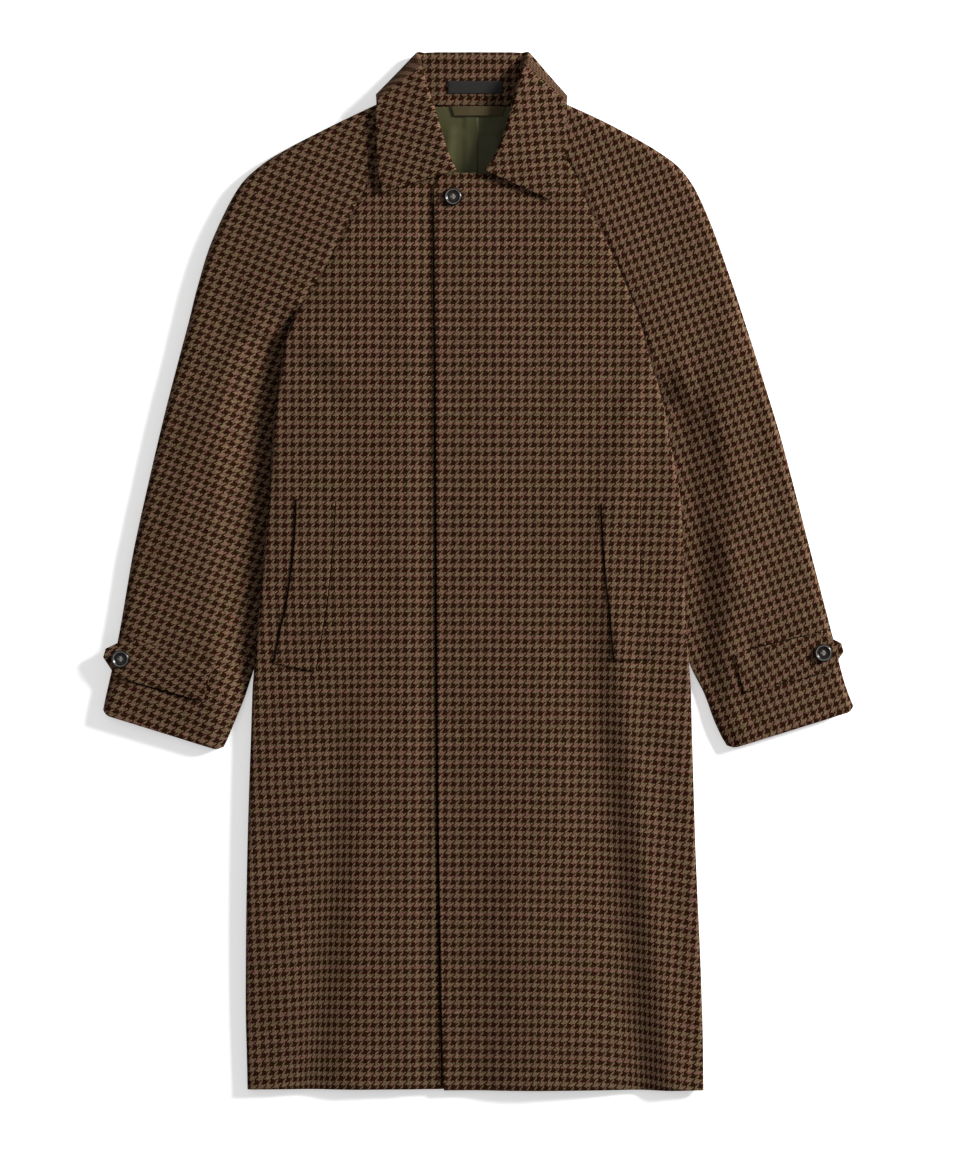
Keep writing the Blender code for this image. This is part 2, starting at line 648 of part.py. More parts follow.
def hanger_loop(group):
    low, high = LOOP_Y

    def point(row, column):
        x = mix(*LOOP_ENDS, row)
        y = mix(low, high, column)
        arch = LOOP_ARCH * math.sin(math.pi * row)
        rest = back_height(0.0, y) + CLOTH / 2 + EASE + LINING + SEAM + WEBBING / 2
        return Vector((x, y, rest + arch))

    cloth("hanger_loop", steps(0, 1, 8), steps(0, 1, 2), point, WEBBING, "loop", group)


def neck_label(group):
    x0, y0, x1, y1 = LABEL_BOX
    low_y, low_z = COLLAR_BACK.neck_y, COLLAR_BACK.neck_z
    high_y, high_z = COLLAR_BACK.roll_y - COLLAR_BACK.radius, COLLAR_BACK.roll_z + COLLAR_BACK.radius

    def point(row, column):
        y = mix(y0, y1, column)
        stand = mix(low_z, high_z, (y - low_y) / (high_y - low_y))
        return Vector((mix(x0, x1, row), y, stand + CLOTH / 2 + PANEL_GAP + LABEL / 2))

    cloth("label", steps(0, 1, 6), steps(0, 1, 1), point, LABEL, "label", group)


def button(name, x, y, z, group):
    """A four-hole button turned from a profile, with a raised rim and a shallow well."""
    radius = BUTTON_WIDTH / 2
    outline = bmesh.new()
    points = [outline.verts.new((share * radius * MM, 0.0, height * MM)) for share, height in BUTTON_PROFILE]
    for first, second in zip(points, points[1:]):
        outline.edges.new((first, second))
    mesh = bpy.data.meshes.new(name)
    outline.to_mesh(mesh)
    outline.free()
    obj = add_object(name, mesh, "horn", group)
    screw = obj.modifiers.new("turned", "SCREW")
    screw.steps = screw.render_steps = BUTTON_SIDES
    screw.use_merge_vertices = True
    screw.merge_threshold = 0.01 * MM
    obj.location = Vector((x, y, z)) * MM
    return obj


def button_holes(obj, cutters):
    """Four holes through a button, cut by one set of pins."""
    pins = bmesh.new()
    for quarter in range(4):
        angle = math.radians(45 + 90 * quarter)
        pin = bmesh.ops.create_cone(pins, cap_ends=True, segments=HOLE_SIDES, radius1=HOLE_RADIUS * MM,
                                    radius2=HOLE_RADIUS * MM, depth=PIN_DEPTH * MM)
        shift = Vector((math.cos(angle) * HOLE_SPREAD, math.sin(angle) * HOLE_SPREAD, PIN_MIDDLE)) * MM
        bmesh.ops.translate(pins, verts=pin["verts"], vec=shift)
    mesh = bpy.data.meshes.new(f"{obj.name}_holes")
    pins.to_mesh(mesh)
    pins.free()
    cutter = bpy.data.objects.new(f"{obj.name}_holes", mesh)
    cutter.location = obj.location
    cutter.hide_render = True
    cutter.display_type = "WIRE"
    cutters.objects.link(cutter)
    cut = obj.modifiers.new("holes", "BOOLEAN")
    cut.operation = "DIFFERENCE"
    cut.object = cutter


def buttons(group, cutters):
    on_front = CLOTH / 2 + PANEL_GAP
    on_strap = CLOTH + SEAM + EASE + on_front
    x, y = NECK_BUTTON
    made = [button("button_neck", x, y, lay_height(x, y) + on_front, group)]
    for side in ("right", "left"):
        x, y = sign(side) * STRAPS[side].button_x, STRAPS[side].button_y
        made.append(button(f"button_cuff_{side}", x, y, lay_height(x, y) + on_strap, group))
    for obj in made:
        button_holes(obj, cutters)


def centre_on_floor(group, cutters):
    """Put the origin under the middle of the coat, on the floor."""
    bpy.context.view_layer.update()
    graph = bpy.context.evaluated_depsgraph_get()
    points = []
    for obj in group.objects:
        done = obj.evaluated_get(graph)
        points += [obj.matrix_world @ vert.co for vert in done.data.vertices]
    low = Vector([min(p[i] for p in points) for i in range(3)])
    high = Vector([max(p[i] for p in points) for i in range(3)])
    shift = Vector((-(low.x + high.x) / 2, -(low.y + high.y) / 2, -low.z))
    for obj in list(group.objects) + list(cutters.objects):
        obj.location += shift
    print("size in mm", [round(v / MM, 1) for v in high - low], "moved by", [round(v / MM, 2) for v in shift])


def main():
    clear_scene()
    group = bpy.data.collections.new("balmacaan_coat")
    cutters = bpy.data.collections.new("cutters")
    bpy.context.scene.collection.children.link(group)
    bpy.context.scene.collection.children.link(cutters)
    fronts(group)
    back(group)
    sleeves(group)
    collar(group)
    welts(group)
    straps(group)
    neck_lining(group)
    hanger_loop(group)
    neck_label(group)
    buttons(group, cutters)
    centre_on_floor(group, cutters)


main()
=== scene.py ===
# %% [markdown]
# # A balmacaan coat of houndstooth tweed, laid flat
# A balmacaan is a loose overcoat with raglan sleeves, a turned-down collar and a hidden row of
# buttons. The imported solids give each piece its place. This script gives each piece of cloth a finer
# form on the same lines, weaves the tweed from its two sets of yarns, and sews and buttons the coat.

# %% [markdown]
# The frame holds the imported solids. The coat could be dressed without them, but then its pieces
# could drift away from them. Their boxes centre the coat and place its buttons.

# %% Load the frame
import math
from collections import namedtuple

import bpy
import bmesh
from mathutils import Matrix, Vector, noise


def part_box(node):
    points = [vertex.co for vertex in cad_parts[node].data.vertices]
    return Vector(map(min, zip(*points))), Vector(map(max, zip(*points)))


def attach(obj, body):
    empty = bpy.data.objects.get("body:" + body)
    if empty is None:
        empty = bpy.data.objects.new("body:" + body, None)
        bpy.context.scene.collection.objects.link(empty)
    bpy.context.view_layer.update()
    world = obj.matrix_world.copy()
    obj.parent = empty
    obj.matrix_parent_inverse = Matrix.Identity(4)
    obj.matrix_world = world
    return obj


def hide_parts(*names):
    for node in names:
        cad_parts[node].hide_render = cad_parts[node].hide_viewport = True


MM = 0.001
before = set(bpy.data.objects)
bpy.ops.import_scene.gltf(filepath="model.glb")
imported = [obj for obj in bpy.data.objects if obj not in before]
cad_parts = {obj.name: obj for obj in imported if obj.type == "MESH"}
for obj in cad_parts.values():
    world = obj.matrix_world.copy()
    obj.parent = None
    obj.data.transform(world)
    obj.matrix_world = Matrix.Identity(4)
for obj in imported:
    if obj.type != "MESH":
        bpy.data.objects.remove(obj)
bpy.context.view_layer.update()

# %% [markdown]
# ## The tailor's tables
# A tailor drafts a coat from a few measures, and so does this script. All tables are in
# millimetres: x from the centre front towards the wearer's left, y up from the hem, z up from the
# floor. A drape could also be simulated, but a coat that was pressed and laid out by hand keeps the
# lines of its cut, and tables put each line where the real coat has it.

# %% Sizes of cloth and seams
# Cloth walls and the room between layers
CLOTH = 2.0
LINING = 1.2
WEBBING = 1.5
LABEL = 0.8
SEAM = 0.3
EASE = 0.6
FLOOR = CLOTH / 2

# Main sizes of the coat
BACK_LENGTH = 1103.0
BUTTON_WIDTH = 20.0
STRAP_WIDTH = 45.0

# Hem: the left front hangs lower than the right one and the back is shorter, over this share of
# the rows below the armpit
HANG = 1.2
BACK_HEM_RISE = 2.0
HEM_ROWS = 0.15

# Fly: how far the right front reaches past the centre, where it starts to sink under the left
# one, and the gutter beside the left front's edge
FLY_LAP = 43.0
UNDER_DROP = CLOTH + 0.45
UNDER_FROM, UNDER_RAMP = -78.0, 26.0
FLY_ROLL, FLY_WIDTH = 0.2, 3.0
GUTTER_DEPTH, GUTTER_WIDTH, GUTTER_OFF = 1.9, 2.4, 1.2
FLY_TOP, FLY_TOP_FADE, FLY_CORNER = 1012.0, 16.0, 1014.0

# Folds: how deep each reaches inwards, and its short straight tail
SIDE_FOLD = 3.5
SLEEVE_FOLD = 9.0
INNER_FOLD = 5.0
FOLD_TAIL = 1.2
FOLD_ROUND = 3.0
TURN_SHARE = 0.8
STEEP_DROP = 3.0

# Sleeves: how wide the top layer slopes, and the rounded corners of the cuff
SLEEVE_RISE = 44.0
SLEEVE_LOW = 5.0
CUFF_RISE = 20.0
CUFF_CORNER, CORNER_LIFT, CORNER_ROWS = 9.0, 0.55, 0.6

# Armpit: how far up the raglan seam it still dips, and the overlap of its edges
ARMPIT_DIP = 50.0
ARMPIT_GAP = -0.6

# The back rises over the sleeves' folds, from the foot of the slit upwards, and over the fall of
# the collar
TUCK_REACH, TUCK_RAMP = 32.0, 20.0
TUCK_FOOT, TUCK_FOOT_RAMP = 370.0, 60.0
FALL_FROM, FALL_RAMP = 1068.0, 26.0

# A panel sinks beside its seam
SINK, SINK_WIDTH = 1.3, 3.0

# How high welts and straps lie above the cloth, and how far the leaves of the collar lift
LAID_ON = 0.12
COLLAR_LIFT = {"right": 3.2, "left": 0.35}

print("cloth wall", CLOTH, "mm, seams", SEAM, "mm")

# %% Outline of body and raglan seams
# How high the top layer lies along the coat
Height = namedtuple("Height", "y z")
LAY_HEIGHT = (
    Height(0, 11.0), Height(200, 12.5), Height(500, 14.0), Height(800, 15.5),
    Height(1000, 16.0), Height(1165, 16.5),
)

# Side folds of the body, from the hem to above the armpits: distance from the centre front
Side = namedtuple("Side", "y right left")
SIDES = (
    Side(0, 256, 256), Side(100, 258, 254), Side(270, 256, 247), Side(450, 250, 241.5),
    Side(530, 243.5, 235.5), Side(660, 232.5, 230), Side(767, 225, 211), Side(840, 214.5, 200),
)

# Raglan seams from the armpit (share 0) to the neck (share 1), and the fold of the sleeve over
# the shoulder at the same shares
ARMPIT = {"right": 840.0, "left": 767.0}
Raglan = namedtuple("Raglan", "share right left right_out_x right_out_y left_out_x left_out_y")
RAGLAN = (
    Raglan(0.00, 214.5, 211.0, 322, 860, 316, 818),
    Raglan(0.15, 196.0, 196.0, 312, 900, 300, 868),
    Raglan(0.30, 170.5, 182.0, 296, 951, 285, 913),
    Raglan(0.45, 149.0, 161.5, 268, 1008, 262, 976),
    Raglan(0.55, 137.0, 146.0, 241, 1036, 240, 1020),
    Raglan(0.65, 124.0, 128.5, 207, 1057, 212, 1047),
    Raglan(0.80, 105.5, 106.0, 157, 1082.5, 150, 1082.5),
    Raglan(1.00, 62.0, 58.0, 80, 1119, 72, 1118),
)

print("body at the hem", SIDES[0].right + SIDES[0].left, "mm wide")

# %% Outline of the sleeves
# Sleeves from the cuff to the armpit: inner and outer fold, height of the top layer along the
# inner fold, and how far it stays that low (where the body lies on it)
Sleeve = namedtuple("Sleeve", "in_x in_y out_x out_y low flat")
SLEEVES = {
    "right": (
        Sleeve(284.4, 378.9, 419.4, 421, 9.5, 0), Sleeve(270.5, 412, 411, 458, 9.0, 0),
        Sleeve(258, 443, 404, 490, 7.0, 2), Sleeve(246, 478, 396.5, 530, 4.2, 10),
        Sleeve(227, 550, 383.6, 605, 3.6, 30), Sleeve(212, 640, 366, 685, 3.6, 38),
        Sleeve(206, 720, 349, 757, 3.6, 38), Sleeve(207, 790, 334, 815, 3.6, 28),
        Sleeve(214.5, 840, 322, 860, 3.6, 5),
    ),
    "left": (
        Sleeve(283.6, 380.8, 425.6, 425, 9.5, 0), Sleeve(269, 411, 414, 457, 9.0, 0),
        Sleeve(257, 443, 406, 488, 7.0, 2), Sleeve(238, 482, 397, 523, 4.2, 6),
        Sleeve(220, 560, 378, 596, 3.6, 21), Sleeve(206, 640, 361.5, 660, 3.6, 30),
        Sleeve(199, 700, 346, 719, 3.6, 32), Sleeve(201, 740, 334, 760, 3.6, 22),
        Sleeve(211, 767, 316, 818, 3.6, 2),
    ),
}

print("cuff", round(SLEEVES["left"][0].out_x - SLEEVES["left"][0].in_x), "mm across")

# %% Edges of the fronts
# Inner edges of the fronts above the armpit, one row for each half step up the raglan seam
Edge = namedtuple("Edge", "place x y")
FRONT_EDGE = {
    "left": (
        Edge(0, -43.9, 767), Edge(1, -44.2, 830), Edge(2, -44.8, 892), Edge(3, -45.3, 950),
        Edge(4, -45.6, 996), Edge(4.5, -44.8, 1014), Edge(5, -33, 1026.5), Edge(5.5, -8, 1027),
        Edge(6, 20, 1028), Edge(6.5, 37, 1062), Edge(7, 48.5, 1098),
    ),
    "right": (
        Edge(0, FLY_LAP, 840), Edge(1, FLY_LAP, 891), Edge(2, FLY_LAP, 930), Edge(3, FLY_LAP, 962),
        Edge(4, 42, 988), Edge(4.5, 38, 998), Edge(5, 27, 1009), Edge(5.5, 0, 1019),
        Edge(6, -31, 1028), Edge(6.5, -44, 1063), Edge(7, -53, 1098),
    ),
}
At = namedtuple("At", "y x")
FLY_EDGE = (At(0, -35.4), At(100, -37.6), At(330, -41.4), At(767, -43.9))
print("the fly edge wanders", FLY_EDGE[0].x - FLY_EDGE[-1].x, "mm")

# %% [markdown]
# Heavy tweed falls in a few broad folds that run up from the hem. They could be sculpted or
# simulated. Here each is one row of a table, a line with a height and a width on both sides, so
# that the solids, the cloth and the pieces laid on it all rise by the same rule.

# %% Large folds
# Large soft folds: top and foot of each line, height there (a trough is negative), and how wide
# it is towards the wearer's right and left
Fold = namedtuple("Fold", "top_x top_y foot_x foot_y top_z foot_z right left")
FOLDS = (
    Fold(101, 690, 193, -60, -2.0, -6.0, 36, 17),
    Fold(139, 665, 229, -60, 3.0, 3.5, 16, 16),
    Fold(184, 815, 146, 600, 2.5, 2.5, 20, 15),
    Fold(27, 540, 72, -60, 1.0, 5.0, 40, 46),
    Fold(12, 300, -4, -60, -1.0, -2.5, 30, 26),
    Fold(-138, 540, -190, -60, -1.5, -3.5, 26, 20),
    Fold(-116, 520, -138, -60, 1.5, 2.5, 22, 40),
    Fold(238, 850, 283, 600, -4.0, -3.0, 11, 14),
    Fold(-262, 700, -300, 480, -2.5, -2.0, 16, 24),
)

# Share of a fold's length over which it fades in and out
FOLD_ENDS = 0.3
print(len(FOLDS), "large folds")

# %% [markdown]
# The collar is cut in one with its stand: it rises from the neck seam, rolls over and falls on the
# shoulders. Behind the neck the fall lies under the stand, because the coat lies on its back. A
# cloth could be bent over a neck, but stations with a known seam, roll and edge are sure to keep
# the collar's outline.

# %% Collar
# Collar from its front end, round the side fold, to the centre back: neck seam, roll and outer
# edge. turn is 0 where the fall lies on the coat and 180 where it lies under the stand.
Collar = namedtuple("Collar", "neck_x neck_y neck_z roll_x roll_y roll_z radius edge_x edge_y edge_z turn")
COLLARS = {
    "right": (
        Collar(31, 1030, 18.2, 22.0, 1029.5, 21.6, 2.2, 104.3, 1004.6, 18.9, 0),
        Collar(40, 1052, 18.4, 31.5, 1049.4, 23.0, 3.0, 108.2, 1027, 18.9, 0),
        Collar(49, 1076, 18.5, 39.3, 1075.2, 23.5, 3.2, 110.0, 1053, 19.2, 0),
        Collar(60, 1104, 18.3, 47.6, 1103.0, 23.5, 3.4, 110.6, 1080, 19.6, 0),
        Collar(68, 1113, 17.4, 55.5, 1126.0, 22.5, 3.6, 110.8, 1097, 20.0, 0),
        Collar(74, 1121, 15.5, 60.5, 1147.0, 19.0, 3.0, 110.6, 1108.5, 19.5, 20),
        Collar(79, 1128.5, 10.5, 63.0, 1160.8, 11.8, 2.4, 110.2, 1115.6, 11.0, 90),
        Collar(74, 1122, 5.6, 57.0, 1162.3, 6.3, 2.8, 102.0, 1113.0, 2.7, 160),
        Collar(58, 1108.0, 4.0, 42.0, 1162.9, 5.7, 4.0, 78.0, 1103.0, 1.2, 180),
        Collar(30, 1104.2, 3.5, 22.0, 1162.9, 5.6, 4.4, 40.0, 1099, 1.0, 180),
    ),
    "left": (
        Collar(20, 1030, 18.2, 11.0, 1029.0, 21.6, 2.2, 83.5, 997.0, 18.9, 0),
        Collar(32, 1052, 18.4, 23.5, 1049.4, 23.0, 3.0, 95.5, 1018, 18.9, 0),
        Collar(43.5, 1076, 18.5, 33.7, 1075.2, 23.5, 3.2, 100.5, 1047, 19.2, 0),
        Collar(56, 1104, 18.3, 41.5, 1105.0, 23.5, 3.4, 101.6, 1075, 19.6, 0),
        Collar(62, 1113, 17.4, 48.0, 1128.0, 22.5, 3.6, 102.0, 1093, 20.0, 0),
        Collar(67, 1121, 15.5, 53.5, 1147.0, 19.0, 3.0, 102.2, 1106.5, 19.5, 20),
        Collar(71.5, 1128.5, 10.5, 57.5, 1160.8, 11.8, 2.4, 101.8, 1114.0, 11.0, 90),
        Collar(67, 1122, 5.6, 51.5, 1162.3, 6.3, 2.8, 94.5, 1112.0, 2.7, 160),
        Collar(53, 1108.0, 4.0, 38.0, 1162.9, 5.7, 4.0, 72.0, 1103.0, 1.2, 180),
        Collar(24, 1104.2, 3.5, 18.0, 1162.9, 5.6, 4.4, 34.0, 1099, 1.0, 180),
    ),
}
COLLAR_BACK = Collar(3, 1104.0, 3.5, 3, 1163.0, 5.6, 4.5, 3, 1098, 1.0, 180)

print(2 * len(COLLARS["right"]) + 1, "stations round the collar")

# %% [markdown]
# The small pieces are cut straight: slanting welts over the pockets, pointed straps at the cuffs,
# and in the neck the lining with its pleat, a hanger loop and a woven label.

# %% Small pieces
# Pocket welts: inner side and opening side at each height, and how much the foot tilts
Welt = namedtuple("Welt", "inner_x inner_y outer_x outer_y")
WELTS = {
    "right": (Welt(157, 662, 200.5, 663), Welt(160, 613, 202.5, 617), Welt(166, 550, 210, 554),
              Welt(173, 508, 218.5, 515), Welt(179.5, 468, 225.5, 478)),
    "left": (Welt(141, 657.5, 184.5, 666), Welt(142.8, 612, 183.5, 614), Welt(147.5, 560, 185.5, 566),
             Welt(152, 518, 192, 522), Welt(155, 480.5, 197.5, 482.5)),
}

# Cuff straps: where the middle line leaves the sleeve seam, and its point past the outer fold
Strap = namedtuple("Strap", "seam_x seam_y tip_x tip_y")
STRAPS = {"right": Strap(299, 457, 415.5, 489.5), "left": Strap(295, 467, 411.0, 495.5)}
STRAP_POINT = 20.0
STRAP_BLUNT = 5.0

NECK_BUTTON = (-25.2, 1000.2)
LABEL_BOX = (-30.8, 1117.2, 30.2, 1131.2)
LINING_BOX = (-54.0, 985.0, 48.0, 1102.4)
LINING_PLEAT = 1.7
PLEAT_DEPTH = 18.0
LOOP_ENDS = (-25.5, 31.5)
LOOP_Y = (1091.9, 1102.7)
LOOP_ARCH = 1.9
LOOP_SLANT, LOOP_MIDDLE = 3.4, 0.35

print("welts, straps, buttons, loop and label")

# %% [markdown]
# Smooth curves run through the rows of the tables. Straight lines between the rows would show as
# corners in the folds, and a Bezier curve would need handles that no tailor measures. A spline
# through the points needs neither.

# %% Curves through the tables
def ease(share):
    """Smooth step from 0 to 1."""
    share = min(max(share, 0.0), 1.0)
    return share * share * (3.0 - 2.0 * share)


def mix(a, b, share):
    return a + (b - a) * share


def spline(rows, place):
    """A smooth curve through the rows of a table, at place 0 on the first and 1 more on each next."""
    last = len(rows) - 1
    i = min(max(int(place), 0), last - 1)
    s = place - i
    a, b, c, d = (rows[min(max(k, 0), last)] for k in (i - 1, i, i + 1, i + 2))
    return tuple(
        0.5 * (2 * q + (r - p) * s + (2 * p - 5 * q + 4 * r - t) * s ** 2 + (3 * q - p - 3 * r + t) * s ** 3)
        for p, q, r, t in zip(a, b, c, d)
    )


def place_in(rows, key, value):
    """The place in a table where its rising column key reaches a value."""
    for i in range(len(rows) - 1):
        low, high = getattr(rows[i], key), getattr(rows[i + 1], key)
        if value <= high or i == len(rows) - 2:
            return i + min(max((value - low) / (high - low), 0.0), 1.0)
    return 0.0


def lookup(rows, key, value, column):
    """Another column of a table where its column key has a value."""
    names = rows[0]._fields
    return spline(rows, place_in(rows, key, value))[names.index(column)]


def sign(side):
    return -1.0 if side == "right" else 1.0


print("chest height of the top layer", round(lookup(LAY_HEIGHT, "y", 900, "z"), 1), "mm")

# %% [markdown]
# The top layer of cloth lies over a hollow. Besides the large folds it has small ripples and
# creases, and it sinks where it is sewn. A Displace modifier could add them, but welts, straps and
# stitches lie on the same cloth and have to follow it, so the height is a function of the place.
# It fades out at seams, folds and collar, where another piece lies close.

# %% Ripples, creases and sewn lines
Line = namedtuple("Line", "top_x top_y foot_x foot_y depth width ends", defaults=(0.35,))
LINES = (
    Line(4, 690, 4.5, 398, 0.7, 2.0, 0.03),
    Line(-205, 850, -128, 800, -1.6, 9), Line(-200, 826, -140, 745, 1.2, 10),
    Line(-255, 930, -292, 800, 1.6, 13), Line(-300, 790, -352, 560, -1.5, 15),
    Line(-268, 640, -330, 520, 1.3, 13), Line(-352, 540, -388, 500, -1.0, 8),
    Line(-290, 470, -310, 400, -0.9, 9), Line(205, 812, 150, 742, -1.5, 10),
    Line(196, 775, 120, 742, 1.1, 9), Line(272, 905, 300, 760, -1.6, 14),
    Line(300, 800, 340, 610, 1.5, 14), Line(268, 640, 318, 520, -1.4, 13),
    Line(300, 520, 318, 470, 2.4, 8), Line(330, 500, 372, 515, 1.3, 6),
    Line(285, 455, 316, 402, 1.0, 9), Line(-150, 900, -70, 880, -0.9, 16),
    Line(70, 900, 150, 905, -0.9, 16),
)

# Waves of the cloth: how wide and long, which part of the noise, and how high
Wave = namedtuple("Wave", "width length seed height")
WAVES = (Wave(62.0, 105.0, 3.1, 1.0), Wave(21.0, 30.0, 8.7, 0.28))

# Where the collar lies on the fronts they stay calm, and so does the cloth beside seams and folds
CALM_ABOVE, CALM_ABOVE_FADE = 985.0, 60.0
CALM_WITHIN, CALM_WITHIN_FADE = 118.0, 30.0
CALM_BESIDE = 26.0


def line_height(line, x, y):
    """A sewn line or a trough sinks by its depth; a crease with a negative depth rises."""
    along = Vector((line.foot_x - line.top_x, line.foot_y - line.top_y))
    out = Vector((x - line.top_x, y - line.top_y))
    share = out.dot(along) / along.length_squared
    if not 0.0 < share < 1.0:
        return 0.0
    across = (along.x * out.y - along.y * out.x) / along.length
    ends = ease(share / line.ends) * ease((1.0 - share) / line.ends)
    return -line.depth * ends * math.exp(-(across / line.width) ** 2)


def ripple(x, y):
    """Small unevenness of a tweed that lies flat."""
    return sum(w.height * noise.noise(Vector((x / w.width, y / w.length, w.seed))) for w in WAVES)


def body_width(side, y):
    """Distance of the body's outer edge from the centre front."""
    if y > ARMPIT[side]:
        return lookup(RAGLAN, "share", (y - ARMPIT[side]) / (BACK_LENGTH - ARMPIT[side]), side)
    return lookup(SIDES, "y", y, side)


def relief(x, y):
    """How far ripples and lines lift the visible top layer."""
    side = "left" if x > 0 else "right"
    room = abs(abs(x) - body_width(side, y))
    clear = max(ease((CALM_ABOVE - y) / CALM_ABOVE_FADE), ease((abs(x) - CALM_WITHIN) / CALM_WITHIN_FADE))
    calm = clear * ease(room / CALM_BESIDE)
    if calm == 0.0:
        return 0.0
    return calm * (ripple(x, y) + sum(line_height(line, x, y) for line in LINES))


def fold_height(fold, x, y):
    """How far one soft fold lifts the cloth at a point."""
    along = Vector((fold.foot_x - fold.top_x, fold.foot_y - fold.top_y))
    out = Vector((x - fold.top_x, y - fold.top_y))
    share = out.dot(along) / along.length_squared
    across = (along.x * out.y - along.y * out.x) / along.length
    width = fold.left if across > 0 else fold.right
    ends = ease(share / FOLD_ENDS) * (1.0 if fold.foot_y < 0 else ease((1.0 - share) / FOLD_ENDS))
    height = mix(fold.top_z, fold.foot_z, min(max(share, 0.0), 1.0))
    return height * ends * math.exp(-(across / width) ** 2)


def lay_height(x, y):
    """Middle of the top layer of cloth above the floor."""
    height = lookup(LAY_HEIGHT, "y", y, "z")
    return height + sum(fold_height(fold, x, y) for fold in FOLDS)


def sewn_sink(distance):
    """How far a panel sinks at a distance from its seam."""
    return SINK * math.exp(-((distance / SINK_WIDTH) ** 2))


print("ripple at the chest", round(ripple(100, 800), 2), "mm")

# %% [markdown]
# Each panel is a function from its own row and column to a point in space. A plane that is bent
# by modifiers would need new vertex groups for each fold. A function knows its row and column, so
# it can turn an edge into a fold, keep clear of the next layer, and be made as fine as the light
# asks for. The seams come first, because the panels on both sides share them.

# %% Seams and folds
def side_x(side, y):
    """Side fold of the body: the middle of its wall."""
    return sign(side) * (lookup(SIDES, "y", y, side) - CLOTH / 2)


def raglan(side, place):
    """A point of the raglan seam, at place 0 in the armpit and 7 at the neck."""
    share, x = (spline(RAGLAN, place)[RAGLAN[0]._fields.index(name)] for name in ("share", side))
    y = mix(ARMPIT[side], BACK_LENGTH, share)
    wall = CLOTH / 2 * (1.0 - ease(place))
    return Vector((sign(side) * (x - wall), y))


def up_from_armpit(side, place):
    """Length of the raglan seam from the armpit, for what happens in the armpit only."""
    return (raglan(side, place) - raglan(side, 0.0)).length


def body_edge(side, row):
    """Outer edge of fronts and back: row 0 to 1 is the side fold, 1 to 8 the raglan seam."""
    if row <= 1.0:
        y = ARMPIT[side] * row
        return Vector((side_x(side, y), y))
    return raglan(side, row - 1.0)


def inner_fold_x(side, y):
    """Inner fold of the sleeve, or the raglan seam above the armpit."""
    if y > ARMPIT[side]:
        share = (y - ARMPIT[side]) / (BACK_LENGTH - ARMPIT[side])
        return lookup(RAGLAN, "share", share, side)
    return lookup(SLEEVES[side], "in_y", y, "in_x")


def back_height(x, y):
    """Middle of the lower layer: on the floor, but over the sleeve folds and over the collar's fall."""
    side = "left" if x > 0 else "right"
    over = abs(x) - inner_fold_x(side, y)
    tuck = SLEEVES[side][5].low + CLOTH / 2 + EASE + CLOTH / 2 - FLOOR
    lift = tuck * ease((over + TUCK_REACH) / TUCK_RAMP)
    lift *= ease((ARMPIT[side] + ARMPIT_DIP - y) / ARMPIT_DIP)
    return FLOOR + lift * ease((y - TUCK_FOOT) / TUCK_FOOT_RAMP) + neck_lift(y)


def neck_lift(y):
    """The lower layer rises over the fall of the collar behind the neck."""
    return (CLOTH + EASE) * ease((y - FALL_FROM) / FALL_RAMP)


def side_seam_height(side, row):
    """Height of the seam between front and back, in the side fold."""
    edge = body_edge(side, min(row, 1.0))
    low = back_height(edge.x, edge.y)
    high = lay_height(edge.x, edge.y)
    share = mix(0.5, (CLOTH + EASE) / max(high - low, CLOTH + EASE), ease((row - 0.8) / 0.2))
    return mix(low, high, share)


def dip(side, row):
    """1 along the side fold, and fading out up the raglan seam."""
    return 1.0 if row <= 1.0 else 1.0 - ease(up_from_armpit(side, row - 1.0) / ARMPIT_DIP)


def turned(share, depth, drop):
    """An edge that turns into a fold, with a short straight end: how far a point at a share of the
    turn lies in from the edge, and how far out of its layer."""
    steep = ease(drop / STEEP_DROP)
    tail_in, tail_down = FOLD_TAIL * (1.0 - steep), FOLD_TAIL * steep
    if share >= TURN_SHARE:
        rest = (1.0 - share) / (1.0 - TURN_SHARE)
        return tail_in * rest, drop - tail_down * rest
    angle = math.radians(90.0 * share / TURN_SHARE)
    return depth - (depth - tail_in) * math.sin(angle), (drop - tail_down) * (1.0 - math.cos(angle))


def seam_gap(row):
    """Room between a panel and the seam line: none in the folds, widest in the armpit."""
    return mix(ARMPIT_GAP, SEAM + 0.1, ease((row - 1.0) / 2.0)) / 2 * ease((row - 0.9) / 0.1)


print("right armpit", [round(v) for v in raglan("right", 0.0)])

# %% [markdown]
# On the real coat the left front laps over the right one and hides its buttons. The edge of the
# upper layer would look painted on if the two merely touched, so the lower one sinks into a gutter
# beside it, and the shadow in the gutter draws the long dark line of the fly. A row of dark thread
# laid in the gutter adds painted shadow to that line.

# %% Fronts
def front_inner(side, row):
    """Buttoning edge and neck edge of a front."""
    if row <= 1.0:
        y = ARMPIT[side] * row
        x = lookup(FLY_EDGE, "y", y, "x") if side == "left" else FLY_LAP
        return Vector((x, y))
    rows = FRONT_EDGE[side]
    edge = spline(rows, place_in(rows, "place", row - 1.0))
    return Vector((edge[1], edge[2]))


def fly_edge(y):
    """Where the left front's edge runs, as far up as its corner."""
    if y > ARMPIT["left"]:
        return lookup(FRONT_EDGE["left"], "y", min(y, FLY_CORNER), "x")
    return lookup(FLY_EDGE, "y", y, "x")


def fly_height(side, plan):
    """The left front's edge stands up a little and the right front sinks beside it."""
    calm = ease((FLY_TOP - plan.y) / FLY_TOP_FADE)
    past = plan.x - fly_edge(plan.y)
    if side == "left":
        return FLY_ROLL * calm * math.exp(-(past / FLY_WIDTH) ** 2)
    return -GUTTER_DEPTH * calm * math.exp(-((past + GUTTER_OFF) / GUTTER_WIDTH) ** 2)


